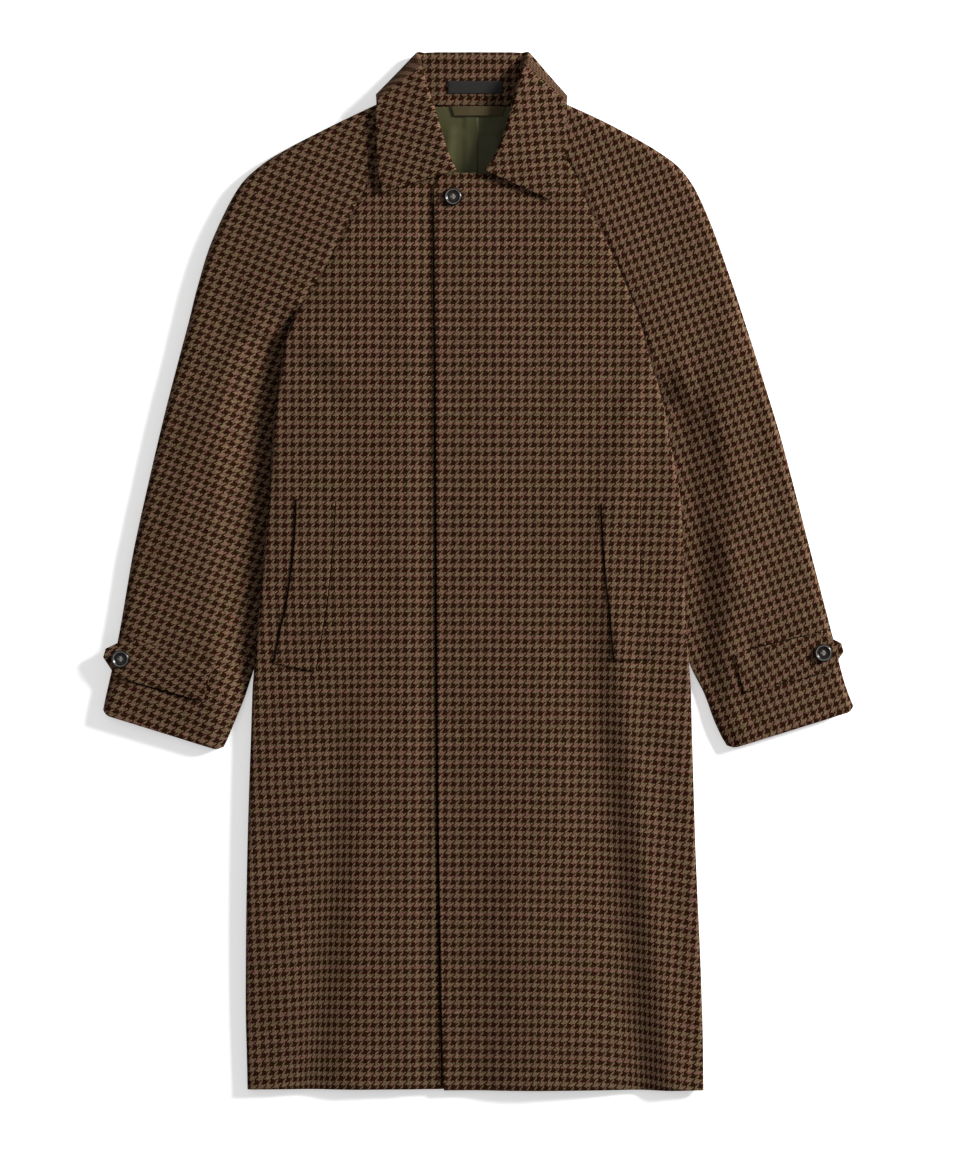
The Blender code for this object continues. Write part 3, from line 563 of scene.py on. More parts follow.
def front_point(side, row, column):
    """A front: column 0 to 1 lies flat, 1 to 2 turns down into the side fold."""
    inner, outer = front_inner(side, row), body_edge(side, row)
    toward = (outer - inner).normalized()
    outer = outer - toward * seam_gap(row)
    span = (outer - inner).length
    fold = min(SIDE_FOLD, span / 3)
    top = lay_height(outer.x, outer.y)
    drop = dip(side, row) * (top - side_seam_height(side, row))
    back_in, down = turned(max(column - 1.0, 0.0), fold, drop)
    plan = inner + toward * ((span - fold) * column if column <= 1.0 else span - back_in)
    z = lay_height(plan.x, plan.y) + relief(plan.x, plan.y) - down
    z += fly_height(side, plan)
    if side == "right":
        z -= UNDER_DROP * ease((plan.x - UNDER_FROM) / UNDER_RAMP)
    hang = HANG * (1.0 - ease(row / HEM_ROWS)) if side == "left" else 0.0
    return Vector((plan.x, plan.y - hang, z))


print("left front at the hem", [round(v, 1) for v in front_point("left", 0.0, 0.0)])

# %% [markdown]
# The back lies under everything. It could be one flat sheet, but the sleeves' inner folds slip
# between it and the fronts, and the collar's fall lies under its neck, so it rises over both.

# %% Back
def back_point(row, column):
    """The back: column 0 to 1 is the right side fold, 1 to 2 lies flat, 2 to 3 is the left fold."""
    right, left = body_edge("right", row), body_edge("left", row)
    toward = (left - right).normalized()
    right, left = right + toward * seam_gap(row), left - toward * seam_gap(row)
    span = (left - right).length
    side = "right" if column < 1.5 else "left"
    edge = right if side == "right" else left
    rise = dip(side, row) * (side_seam_height(side, row) - SEAM - back_height(edge.x, edge.y))
    inward, up = turned(1.0 - min(column, 3.0 - column, 1.0), SIDE_FOLD, rise)
    if 1.0 <= column <= 2.0:
        reach = mix(SIDE_FOLD, span - SIDE_FOLD, column - 1.0)
    else:
        reach = inward if side == "right" else span - inward
    plan = right + toward * reach
    plan.y += BACK_HEM_RISE * (1.0 - ease(row / HEM_ROWS))
    return Vector((plan.x, plan.y, back_height(plan.x, plan.y) + up))


print("back at the neck", [round(v, 1) for v in back_point(8.0, 1.5)])

# %% [markdown]
# A raglan sleeve is a tube that runs on over the shoulder to the neck, so it has no armhole seam
# across the shoulder. A cylinder pressed flat would have two equal folds. This one has a sharp
# inner fold that slips under the body, a rounder outer one, and above the armpit an open edge
# along the raglan seam. So its columns run all round, and its rows follow both outlines.

# %% Sleeves
def sleeve_edges(side, row):
    """Inner and outer edge of a sleeve: row 0 to 8 from the cuff to the armpit, 8 to 15 to the neck."""
    lower = SLEEVES[side]
    out_rows = [(r.out_x, r.out_y) for r in lower[:-1]]
    out_rows += [row[3:5] if side == "right" else row[5:7] for row in RAGLAN]
    out_x, out_y = spline(out_rows, row)
    outer = Vector((sign(side) * out_x, out_y))
    if row <= 8.0:
        in_x, in_y, _, _, low, flat = spline(lower, row)
        inner = Vector((sign(side) * in_x, in_y))
        toward = (outer - inner).normalized()
        inner = inner + toward * CLOTH / 2
    else:
        inner = raglan(side, row - 8.0)
        toward = (outer - inner).normalized()
        low, flat = front_seam_height(side, row - 7.0), 0.0
        low = mix(lower[-1].low, low, ease(up_from_armpit(side, row - 8.0) / ARMPIT_DIP))
    inner = inner + toward * (seam_gap(row - 7.0) if row > 8.0 else ARMPIT_GAP / 2 * ease(row - 7.0))
    return inner, outer - toward * CLOTH / 2, low, flat


def front_seam_height(side, row):
    """Height of the top layer along the raglan seam."""
    edge = body_edge(side, row)
    top = lay_height(edge.x, edge.y)
    return top - dip(side, row) * (top - side_seam_height(side, row))


def sleeve_point(side, row, column):
    """A sleeve, all round: columns 0 to 1 inner fold (top half), 1 to 2 top layer, 2 to 4 outer
    fold, 4 to 5 under layer, 5 to 6 inner fold (under half)."""
    inner, outer, low, flat = sleeve_edges(side, row)
    toward = (outer - inner).normalized()
    span = (outer - inner).length
    fold_out = min(SLEEVE_FOLD, span / 3)
    closed = 1.0 - ease((row - 1.5) / 2.0)
    drop = closed * (low - FLOOR - SEAM - EASE) / 2
    upper_half = column <= 3.0
    up = down = 0.0
    if column <= 1.0 or column >= 5.0:
        reach, down = turned(1.0 - (column if upper_half else 6.0 - column), INNER_FOLD, drop)
    elif column <= 2.0:
        reach = mix(INNER_FOLD, span - fold_out, column - 1.0)
    elif column <= 4.0:
        angle = math.radians(90.0 * abs(column - 3.0))
        reach = span - fold_out * (1.0 - math.cos(angle))
        up = 1.0 - math.sin(angle)
    else:
        reach = mix(span - fold_out, INNER_FOLD, column - 4.0)
    plan = inner + toward * reach
    corner = max(1.0 - min(reach, span - reach) / CUFF_CORNER, 0.0)
    up_sleeve = Vector((-toward.y, toward.x)) * (1.0 if toward.x > 0 else -1.0)
    plan = plan + up_sleeve * CUFF_CORNER * CORNER_LIFT * corner ** 2 * (1.0 - ease(row / CORNER_ROWS))
    width = mix(CUFF_RISE, SLEEVE_RISE, ease(row / 4.0))
    shown = abs(plan.x) > body_width(side, plan.y)
    high = lay_height(plan.x, plan.y) + (relief(plan.x, plan.y) if shown else 0.0)
    top = mix(low, high, ease((reach - flat - SLEEVE_LOW * ease(flat / 10.0)) / width)) - down
    bottom = FLOOR + neck_lift(plan.y) + down
    z = mix(top if upper_half else bottom, (top + bottom) / 2, up)
    return Vector((plan.x, plan.y, z))


print("left cuff", [round(v) for v in sleeve_edges("left", 0.0)[0]])

# %% [markdown]
# The collar is a strip that follows three lines: its neck seam, its roll and its outer edge. Each
# station of the table says how the fall lies there: on the coat in front, upright at the side fold
# and under the stand behind the neck.

# %% Collar and stand
def collar_rows():
    """All rows of the collar in one line, from the right front end round the back to the left."""
    right = [mirrored_row(row, -1.0) for row in COLLARS["right"]]
    left = [mirrored_row(row, 1.0) for row in COLLARS["left"]]
    return right + [mirrored_row(COLLAR_BACK, -1.0)] + left[::-1]


def mirrored_row(row, way):
    """A row with its x on the right (-1) or left (+1), and its turn as the lie of the fall."""
    turn = math.radians(row.turn)
    return row._replace(neck_x=way * row.neck_x, roll_x=way * row.roll_x, edge_x=way * row.edge_x,
                        turn=way * turn) + (way * math.sin(turn), math.cos(turn))


def collar_point(rows, row, column):
    """The collar: column 0 to 1 is the stand from the neck seam, 1 to 2 the roll, 2 to 3 the fall."""
    nx, ny, nz, rx, ry, rz, radius, ex, ey, ez, _, side_lie, up_lie = spline(rows, row)
    neck, apex, edge = Vector((nx, ny, nz)), Vector((rx, ry, rz)), Vector((ex, ey, ez))
    back = Vector((rx - ex, ry - ey, 0.0)).normalized()
    outward = Vector((-back.y, back.x, 0.0))
    if outward.x * (rx + COLLAR_BACK.roll_x) < 0:
        outward = -outward
    lie = (outward * abs(side_lie) + Vector((0, 0, up_lie))).normalized()
    centre = apex - back * radius
    if column <= 1.0:
        return neck.lerp(centre - lie * radius, column)
    if column <= 2.0:
        angle = math.radians(180.0 * (column - 1.0))
        return centre - lie * radius * math.cos(angle) + back * radius * math.sin(angle)
    fall = (centre + lie * radius).lerp(edge, column - 2.0)
    fall.z += COLLAR_LIFT["left" if rx > 0 else "right"] * max(up_lie, 0.0) * ease(column - 2.0)
    return fall


print("collar rows", len(collar_rows()))

# %% [markdown]
# ## Cloth
# A pattern that is laid on from above would be squeezed in the folds. On real cloth it runs with
# the yarns, so each point has its yarn coordinates, in metres along the two sets of yarns. In the
# skirt the flare of the cloth gathers into the folds, and the rows drop to the sides.

# %% Where the yarns run
FLARE_LEAD, FLARE_REACH = 100.0, 560.0
Flare = namedtuple("Flare", "side top_y top_x foot_x width gather lean")
FLARES = (
    Flare(-1, 560, -122, -185, 60, 0.040, 0.075),
    Flare(1, 560, 27, 72, 80, 0.012, 0.035),
    Flare(1, 690, 120, 200, 70, 0.045, 0.060),
    Flare(1, 400, 110, 140, 60, 0.0, 0.085),
)


def body_weave(x, y):
    """Yarn coordinates on the fronts."""
    across, along = x, y
    for flare in FLARES:
        below = flare.top_y - y
        if below < -FLARE_LEAD:
            continue
        line = mix(flare.top_x, flare.foot_x, below / flare.top_y)
        out = flare.side * (x - line)
        across += flare.side * flare.gather * max(below, 0.0) * ease(out / flare.width + 0.5)
        along += flare.lean * max(out, 0.0) * ease((below + FLARE_LEAD) / FLARE_REACH)
    return across, along


def turned_weave(x, y, degrees):
    """Yarn coordinates on a piece whose rows climb to the right by an angle."""
    cos, sin = math.cos(math.radians(degrees)), math.sin(math.radians(degrees))
    return x * cos + y * sin, y * cos - x * sin


print("yarns at the left hem corner", [round(v) for v in body_weave(250, 0)])

# %% [markdown]
# A piece of cloth is a grid of points and their yarn coordinates. The wall could be drawn as a
# second grid, but Solidify keeps it equally thick in every fold, and Bevel rounds the cut edges so
# that they catch the light. Both are applied, because the export wants plain meshes.

# %% Build a piece of cloth
low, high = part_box("button_neck")
SHIFT = Vector(((low.x + high.x) / 2 - NECK_BUTTON[0] * MM, (low.y + high.y) / 2 - NECK_BUTTON[1] * MM, 0.0))
print("the coat is centred by", [round(v * 1000, 2) for v in SHIFT], "mm")


def steps(low, high, count):
    return [mix(low, high, i / count) for i in range(count + 1)]


def finished(obj):
    """Apply all modifiers and keep a plain mesh."""
    bpy.context.view_layer.update()
    done = obj.evaluated_get(bpy.context.evaluated_depsgraph_get())
    mesh = bpy.data.meshes.new_from_object(done)
    obj.modifiers.clear()
    obj.data = mesh
    mesh.name = obj.name
    return obj


def add_mesh(name, mesh, material):
    obj = bpy.data.objects.new(name, mesh)
    bpy.context.scene.collection.objects.link(obj)
    mesh.materials.append(material)
    return obj


def cloth(name, rows, columns, point, weave, wall, material, rounding=0.5):
    """A shell whose points are point(row, column), with yarns at weave(row, column, place)."""
    places, yarns = [], []
    for row in rows:
        for column in columns:
            place = point(row, column)
            places.append(place * MM + SHIFT)
            yarns.append([v * MM for v in weave(row, column, place)])
    across = len(columns)
    corners = [r * across + c for r in range(len(rows) - 1) for c in range(across - 1)]
    faces = [(i, i + 1, i + across + 1, i + across) for i in corners]
    mesh = bpy.data.meshes.new(name)
    mesh.from_pydata(places, [], faces)
    layer = mesh.uv_layers.new(name="yarns")
    for loop in mesh.loops:
        layer.data[loop.index].uv = yarns[loop.vertex_index]
    obj = add_mesh(name, mesh, material)
    thick = obj.modifiers.new("wall", "SOLIDIFY")
    thick.thickness = wall * MM
    thick.offset = 0.0
    edge = obj.modifiers.new("edge", "BEVEL")
    edge.width = rounding * MM
    edge.segments = 2
    edge.limit_method = "ANGLE"
    edge.angle_limit = math.radians(60)
    finished(obj)
    obj.data.shade_smooth()
    return obj


# %% [markdown]
# ## Materials
# A material is a tree of nodes. Written link by link it is long and hard to read, so a small class
# writes one node in one call, and a material reads like a formula.

# %% A short way to write nodes
class Nodes:
    """Adds nodes to a new material and returns their outputs."""

    def __init__(self, name):
        self.material = bpy.data.materials.new(name)
        self.material.use_nodes = True
        self.tree = self.material.node_tree
        self.shader = self.tree.nodes["Principled BSDF"]

    def node(self, kind, inputs=(), output=0, **settings):
        made = self.tree.nodes.new(kind)
        for key, value in settings.items():
            setattr(made, key, value)
        for key, value in dict(inputs).items():
            self.put(made.inputs[key], value)
        return made.outputs[output]

    def put(self, socket, value):
        if isinstance(value, bpy.types.NodeSocket):
            self.tree.links.new(value, socket)
        else:
            socket.default_value = value

    def math(self, operation, a, b=0.0, c=0.0):
        return self.node("ShaderNodeMath", {0: a, 1: b, 2: c}, operation=operation)

    def noise(self, vector, scale, detail=2.0, output=0, **inputs):
        settings = {"Vector": vector, "Scale": scale, "Detail": detail, **inputs}
        return self.node("ShaderNodeTexNoise", settings, output)

    def join(self, x, y, z=0.0):
        return self.node("ShaderNodeCombineXYZ", {"X": x, "Y": y, "Z": z})

    def split(self, vector):
        """The first two coordinates of a vector."""
        parts = self.node("ShaderNodeSeparateXYZ", {0: vector})
        return parts, parts.node.outputs[1]

    def object_place(self):
        return self.node("ShaderNodeTexCoord", output=3)

    def ribs(self, place, scale, distortion, **settings):
        """Height of a wave of thin ribs."""
        inputs = {"Vector": place, "Scale": scale, "Distortion": distortion}
        return self.node("ShaderNodeTexWave", inputs, 1, **settings)

    def bump(self, height, strength, distance):
        return self.node("ShaderNodeBump", {"Height": height, "Strength": strength, "Distance": distance})

    def colour(self, share, a, b):
        made = self.tree.nodes.new("ShaderNodeMix")
        made.data_type = "RGBA"
        self.put(made.inputs["Factor"], share)
        self.put(made.inputs["A"], a if isinstance(a, bpy.types.NodeSocket) else (*a, 1.0))
        self.put(made.inputs["B"], b if isinstance(b, bpy.types.NodeSocket) else (*b, 1.0))
        return made.outputs["Result"]

    def ramp(self, share, stops, interpolation="CONSTANT"):
        made = self.tree.nodes.new("ShaderNodeValToRGB")
        ramp = made.color_ramp
        ramp.interpolation = interpolation
        while len(ramp.elements) < len(stops):
            ramp.elements.new(1.0)
        for element, (place, colour) in zip(ramp.elements, stops):
            element.position = place
            element.color = (*colour, 1.0)
        self.put(made.inputs["Fac"], share)
        return made.outputs["Color"]

    def finish(self, **inputs):
        for key, value in inputs.items():
            self.put(self.shader.inputs[key.replace("_", " ")], value)
        return self.material


print("nodes are written in one call each")

# %% [markdown]
# Houndstooth isn't printed. It comes from the weave itself: four dark and four light yarns each
# way, in a twill where each yarn goes over two and under two. An image would blur up close and
# repeat from afar. So the nodes do what the loom does: at each point they find the two yarns that
# cross there, and the upper one gives the colour and the height. Each yarn has its own shade, and
# its fibres fleck it.

# %% The tweed
YARN_ACROSS, YARN_ALONG = 0.001125, 0.00125
BAND, DARK_EXTRA = 4.0, 0.3
DARK_YARNS = ((0.0, (0.0200, 0.0056, 0.0018)), (0.35, (0.0150, 0.0046, 0.0018)),
              (0.6, (0.0130, 0.0064, 0.0018)), (0.8, (0.0180, 0.0048, 0.0034)))
LIGHT_YARNS = ((0.0, (0.123, 0.073, 0.045)), (0.35, (0.108, 0.071, 0.042)),
               (0.6, (0.130, 0.066, 0.046)), (0.8, (0.103, 0.075, 0.037)))

# How far yarns wander from their place, and what share of a yarn's shade its whole band has
WANDER, WANDER_SCALE = 1.6, 45.0
BAND_SHARE = 0.12

# Flecks of three sizes: their scale in the noise and how much each darkens or lightens
FIBRES, FLECKS, GRAIN = (900.0, 0.8), (260.0, 0.9), (620.0, 2.2)
TONE_LOSS = 0.97
FIBRE_HEIGHT, RELIEF_STRENGTH, RELIEF_DEPTH = 0.7, 0.55, 0.00045
HUE_SCALE, HUE_SPREAD, HUE_LOW = 410.0, 0.24, 0.38


def chance(g, number, seed):
    """A random share for each whole number."""
    shifted = g.math("ADD", number, seed)
    return g.node("ShaderNodeTexWhiteNoise", {"W": shifted}, 0, noise_dimensions="1D")


def yarn_colour(g, place, index, seed):
    """Colour of one set of yarns: its band is dark or light, and each yarn is a little different."""
    in_pair = g.math("FLOORED_MODULO", g.math("ADD", place, DARK_EXTRA / 2), 2.0 * BAND)
    dark = g.math("LESS_THAN", in_pair, BAND + DARK_EXTRA)
    band = g.math("FLOOR", g.math("DIVIDE", index, BAND))
    shared = g.math("MULTIPLY", chance(g, band, seed), BAND_SHARE)
    own = g.math("MULTIPLY", chance(g, index, seed + 0.37), 1.0 - BAND_SHARE)
    mixed = g.math("ADD", shared, own)
    return g.colour(dark, g.ramp(mixed, LIGHT_YARNS), g.ramp(mixed, DARK_YARNS))


def yarn_place(g, place, width, wave):
    """Place across a set of yarns, counted in yarns, with a slow wander."""
    wander = g.math("MULTIPLY", g.math("SUBTRACT", wave, 0.5), WANDER)
    return g.math("ADD", g.math("DIVIDE", place, width), wander)


print("a check is", [round(2.0 * BAND * yarn / MM, 2) for yarn in (YARN_ACROSS, YARN_ALONG)], "mm")

# %% [markdown]
# The weave itself is a 2/2 twill: each yarn passes over two and under two, one step on in the next
# row. The same test that picks the colour also picks which yarn is higher, so the relief follows
# the check. Hairs and flecks are noise on top of it.

# %% The weave
def tweed_material():
    g = Nodes("tweed")
    place = g.node("ShaderNodeUVMap", uv_map="yarns")
    u, v = g.split(place)
    wave_u, wave_v = g.split(g.noise(place, WANDER_SCALE, 3.0, output=1))
    across = yarn_place(g, u, YARN_ACROSS, wave_u)
    along = yarn_place(g, v, YARN_ALONG, wave_v)
    warp, weft = g.math("FLOOR", across), g.math("FLOOR", along)
    over = g.math("LESS_THAN", g.math("FLOORED_MODULO", g.math("SUBTRACT", warp, weft), 4.0), 2.0)
    colour = g.colour(over, yarn_colour(g, along, weft, 503.0), yarn_colour(g, across, warp, 11.0))
    fibres = g.noise(g.join(g.math("MULTIPLY", u, FIBRES[0]), g.math("MULTIPLY", v, FIBRES[0])), 1.0, 3.0)
    flecks = g.math("MULTIPLY", g.noise(place, FLECKS[0], 2.0), FLECKS[1])
    grain = g.math("MULTIPLY", g.noise(place, GRAIN[0], 1.0), GRAIN[1])
    tone = g.math("ADD", g.math("ADD", g.math("MULTIPLY", fibres, FIBRES[1]), flecks), grain)
    hue = g.math("ADD", g.math("MULTIPLY", g.noise(place, HUE_SCALE, 1.0), HUE_SPREAD), HUE_LOW)
    shade = {"Color": colour, "Hue": hue, "Value": g.math("SUBTRACT", tone, TONE_LOSS)}
    round_warp, round_weft = g.math("PINGPONG", across, 0.5), g.math("PINGPONG", along, 0.5)
    height = g.math("ADD", g.math("MULTIPLY", over, g.math("SUBTRACT", round_warp, round_weft)), round_weft)
    height = g.math("ADD", height, g.math("MULTIPLY", fibres, FIBRE_HEIGHT))
    return g.finish(
        Base_Color=g.node("ShaderNodeHueSaturation", shade),
        Normal=g.bump(height, RELIEF_STRENGTH, RELIEF_DEPTH), Roughness=0.92,
        Sheen_Weight=0.0, Specular_IOR_Level=0.01,
    )


TWEED = tweed_material()
print("tweed with", len(TWEED.node_tree.nodes), "nodes")

# %% [markdown]
# The lining is a smooth olive twill, the hanger loop a ribbed webbing and the label a woven tape.
# Each is one mix of two tones and one wave for its threads, because at this size more would only
# be noise.

# %% Lining, webbing and label
def lining_material():
    g = Nodes("lining")
    place = g.object_place()
    cloud = g.noise(place, 22.0, 3.0)
    colour = g.colour(cloud, (0.0325, 0.0320, 0.0095), (0.0550, 0.0515, 0.0170))
    bump = g.bump(g.ribs(place, 900.0, 0.4), 0.12, 0.0002)
    return g.finish(
        Base_Color=colour, Roughness=0.45, Normal=bump, Sheen_Weight=0.03, Specular_IOR_Level=0.2,
    )


def webbing_material():
    g = Nodes("webbing")
    place = g.object_place()
    flecks = g.noise(place, 700.0, 2.0)
    colour = g.colour(flecks, (0.036, 0.026, 0.009), (0.066, 0.049, 0.020))
    bump = g.bump(g.math("ADD", g.ribs(place, 260.0, 0.3), flecks), 0.5, 0.0003)
    return g.finish(
        Base_Color=colour, Roughness=0.75, Normal=bump, Sheen_Weight=0.03, Specular_IOR_Level=0.15,
    )


def label_material():
    g = Nodes("label")
    place = g.object_place()
    colour = g.colour(g.noise(place, 900.0, 2.0), (0.0104, 0.0094, 0.0090), (0.0218, 0.0200, 0.0190))
    bump = g.bump(g.ribs(place, 500.0, 0.2, bands_direction="Y"), 0.3, 0.0002)
    return g.finish(Base_Color=colour, Roughness=0.7, Normal=bump, Specular_IOR_Level=0.15)


LINING_CLOTH, WEB, TAPE = lining_material(), webbing_material(), label_material()
print("materials:", [m.name for m in (LINING_CLOTH, WEB, TAPE)])

# %% [markdown]
# The buttons are dark horn, streaked. Their pale middle and a thin pale ring near the rim are painted
# highlights, glints put into the colour. They could be extra rings of mesh, but a coordinate that counts
# from the middle to the rim keeps them in the material. The threads are near black in the seams, and pale
# in the buttons, where their colour also paints a glint.

# %% Horn and threads
# Strength of the painted highlight: none, the glint in the middle, and the highlight ring near the rim
BLACK, CENTRE_GLINT, RIM_HIGHLIGHT = (0.0, 0.0, 0.0), (0.75, 0.75, 0.75), (1.0, 1.0, 1.0)
HORN_STREAKS = (
    (0.35, (0.003, 0.0022, 0.0018)), (0.6, (0.009, 0.0062, 0.0048)), (0.8, (0.028, 0.020, 0.015)),
)
HORN_PAINTED_HIGHLIGHTS = (
    (0.0, CENTRE_GLINT), (0.27, CENTRE_GLINT), (0.33, BLACK), (0.74, BLACK), (0.79, RIM_HIGHLIGHT), (0.85, BLACK),
)


def horn_material():
    g = Nodes("horn")
    streaks = g.noise(g.object_place(), 180.0, 4.0, Distortion=1.2)
    ring, _ = g.split(g.node("ShaderNodeUVMap", uv_map="ring"))
    # Painted highlight: a pale middle and a pale ring near the rim stand in for glints on the horn
    painted_highlight = g.ramp(ring, HORN_PAINTED_HIGHLIGHTS, "LINEAR")
    colour = g.colour(painted_highlight, g.ramp(streaks, HORN_STREAKS, "EASE"), (0.17, 0.162, 0.152))
    return g.finish(Base_Color=colour, Roughness=0.26, Specular_IOR_Level=0.3)


def thread_material(name, low, high):
    g = Nodes(name)
    twist = g.ribs(g.object_place(), 1500.0, 0.0, bands_direction="DIAGONAL")
    bump = g.bump(twist, 0.4, 0.0001)
    colour = g.colour(twist, low, high)
    return g.finish(Base_Color=colour, Roughness=0.9, Normal=bump, Specular_IOR_Level=0.02)


HORN = horn_material()
# Near-black thread for the seams; the same thread also draws the painted shadow lines beside the fly, the
# pocket mouths and the straps
THREAD_AND_SHADOW = thread_material("seam_thread_and_shadow", (0.0035, 0.0018, 0.0010), (0.0110, 0.0055, 0.0030))
# Pale thread for the buttons: partly its own colour, partly a painted glint in each button's middle
BUTTON_THREAD_AND_GLINT = thread_material("button_thread_and_glint", (0.10, 0.090, 0.078), (0.26, 0.24, 0.21))
print("materials:", [m.name for m in (HORN, THREAD_AND_SHADOW, BUTTON_THREAD_AND_GLINT)])

# %% [markdown]
# ## The panels
# The fronts are the largest pieces of the coat. Their rows run straight from the hem to the armpit
# and then up the raglan seam, and their columns are closest at the fly and in the side fold. Their
# weave is unrolled round the side fold, so that no check is squeezed there.

# %% Cut the fronts
pieces = {}


def edge_room(side, row, place):
    """Distance of a point from the raglan seam, or far away where there is none."""
    if row <= 1.0:
        return 1000.0
    edge = body_edge(side, row)
    return (Vector((place.x, place.y)) - edge).length / ease((row - 1.0) / 0.5 + 0.05)


def make_front(side):
    def point(row, column):
        place = front_point(side, row, column)
        place.z -= sewn_sink(edge_room(side, row, place))
        return place

    def weave(row, column, place):
        turn = max(column - 1.0, 0.0) * dip(side, row)
        return body_weave(place.x + sign(side) * turn * FOLD_ROUND, place.y)

    rows = steps(0.0, 1.0, 170) + steps(1.0, 8.0, 84)[1:]
    fly = steps(0.20, 0.34, 34) if side == "right" else steps(0.0, 0.06, 12)
    flat = steps(0.0, fly[0], 8)[:-1] + fly + steps(fly[-1], 1.0, 46)[1:]
    columns = flat + steps(1.0, 1.8, 5)[1:] + [1.9, 2.0]
    return cloth(f"front_{side}_cloth", rows, columns, point, weave, CLOTH, TWEED)


for side in ("right", "left"):
    pieces[f"front_{side}"] = make_front(side)
    print(f"front_{side}", len(pieces[f"front_{side}"].data.polygons), "faces")

# %% [markdown]
# The back is cut in one piece and lies under everything else. Most of it is hidden, so it could be
# left as a flat plate, but it carries the side folds and shows in the neck. Its rows are wider
# apart than those of the fronts, and its columns are closest at both side folds.

# %% Cut the back
def back_weave(row, column, place):
    return -place.x, place.y


right_fold = steps(0.0, 1.0, 5) + steps(1.02, 1.2, 14)
left_fold = [3.0 - column for column in reversed(right_fold)]
columns = right_fold + steps(1.2, 1.8, 34)[1:-1] + left_fold
rows = steps(0.0, 1.0, 90) + steps(1.0, 8.0, 56)[1:]
pieces["back"] = cloth("back_cloth", rows, columns, back_point, back_weave, CLOTH, TWEED)
print("back", len(pieces["back"].data.polygons), "faces")

# %% [markdown]
# A raglan sleeve runs up to the collar in one piece, with its yarns along the arm, so its checks
# meet those of the body at an angle in the seam. The grid goes once round the flat tube. The weave
# could be unwrapped by Blender, but a turned plane keeps it straight, and the check a little larger.

# %% Cut the sleeves
SLEEVE_TURN = 21.5
SLEEVE_PITCH = {"right": (8.0 / 8.6, 8.93 / 9.1), "left": (8.0 / 8.15, 8.93 / 9.0)}


def make_sleeve(side):
    def point(row, column):
        place = sleeve_point(side, row, column)
        if row > 8.0 and column <= 3.0:
            edge = raglan(side, row - 8.0)
            away = (Vector((place.x, place.y)) - edge).length
            place.z -= sewn_sink(away) * ease((row - 8.0) / 0.6)
        return place

    def weave(row, column, place):
        inner, outer, _, _ = sleeve_edges(side, row)
        flat = Vector((place.x, place.y))
        if column > 3.0:
            toward = (outer - inner).normalized()
            flat = flat + 2.0 * toward * max((outer - flat).dot(toward), 0.0)
        if column > 2.0:
            flat = flat + (outer - inner).normalized() * FOLD_ROUND * min(column - 2.0, 2.0)
        across, along = turned_weave(flat.x, flat.y, sign(side) * SLEEVE_TURN)
        return across * SLEEVE_PITCH[side][0], along * SLEEVE_PITCH[side][1]

    fold = [0.0, 0.1, 0.2, 0.4, 0.6, 0.8, 1.0]
    layers = steps(1, 2, 34)[1:] + steps(2, 4, 16)[1:] + steps(4, 5, 14)[1:]
    columns = fold + layers + [6.0 - column for column in fold[-2::-1]]
    rows = steps(0.0, 8.0, 104) + steps(8.0, 15.0, 70)[1:]
    return cloth(f"sleeve_{side}_cloth", rows, columns, point, weave, CLOTH, TWEED)


for side in ("right", "left"):
    pieces[f"sleeve_{side}"] = make_sleeve(side)
    print(f"sleeve_{side}", len(pieces[f"sleeve_{side}"].data.polygons), "faces")

# %% [markdown]
# The collar is one strip: stand, roll and fall. Its rows go round the neck from one point to the
# other and its columns go over the roll. Each leaf is cut on its own slant, so its checks have
# their own turn, and the strip behind the neck keeps the straight lines of the body. Two pieces
# with a seam would be simpler to weave, but there is no seam in the photo.

# %% Cut the collar
table = collar_rows()
last = len(table) - 1
LEAF_TURN = {"right": 16.0, "left": -5.0}
LEAF_PITCH = (8.0 / 8.75, 8.93 / 8.42)
LEAF_END, LEAF_PASS, ROLL_START = 4.9, 0.8, 1.2


def collar_weave(row, column, place):
    """The leaves have their own turn; the weave passes to that of the stand behind the neck."""
    side = "right" if row < last / 2 else "left"
    across, along = turned_weave(place.x, place.y, -LEAF_TURN[side])
    leaf = Vector((across * LEAF_PITCH[0], along * LEAF_PITCH[1]))
    stand = Vector((place.x, place.y))
    behind = ease((min(row, last - row) - LEAF_END) / LEAF_PASS)
    return leaf.lerp(stand, behind if column > ROLL_START else 1.0)


rows = steps(0.0, float(last), last * 10)
columns = steps(0, 1, 14) + steps(1, 2, 12)[1:] + steps(2, 3, 26)[1:]
pieces["collar"] = cloth(
    "collar_cloth", rows, columns, lambda row, column: collar_point(table, row, column), collar_weave,
    CLOTH, TWEED, 0.7,
)
print("collar", len(pieces["collar"].data.polygons), "faces")

# %% [markdown]
# Welts and straps are sewn onto the finished coat. They are small grids that take their height from
# the cloth below them, plus its wall, so that they rise and fall with it. A Shrinkwrap modifier
# would do as well, but it would have to be applied before the wall.

# %% Pocket welts
def on_top(x, y, above):
    """A point at a height above the middle of the top layer."""
    return Vector((x, y, lay_height(x, y) + relief(x, y) + above))


def on_welt(side, row, column, above):
    inner_x, inner_y, outer_x, outer_y = spline(WELTS[side], row)
    return on_top(sign(side) * mix(inner_x, outer_x, column), mix(inner_y, outer_y, column), above)


def make_welt(side):
    return cloth(
        f"pocket_welt_{side}_cloth", steps(0, 4, 60), steps(0, 1, 16),
        lambda row, column: on_welt(side, row, column, CLOTH + LAID_ON),
        lambda row, column, place: body_weave(place.x, place.y), CLOTH, TWEED, 0.95,
    )


print("a welt is", round((on_welt("right", 0, 0, 0) - on_welt("right", 4, 0, 0)).length), "mm long")

# %% [markdown]
# A cuff strap is let into the sleeve seam and ends in a point under its button. Its half width
# shrinks to the point in a straight line, which is simpler than cutting the point off a band.

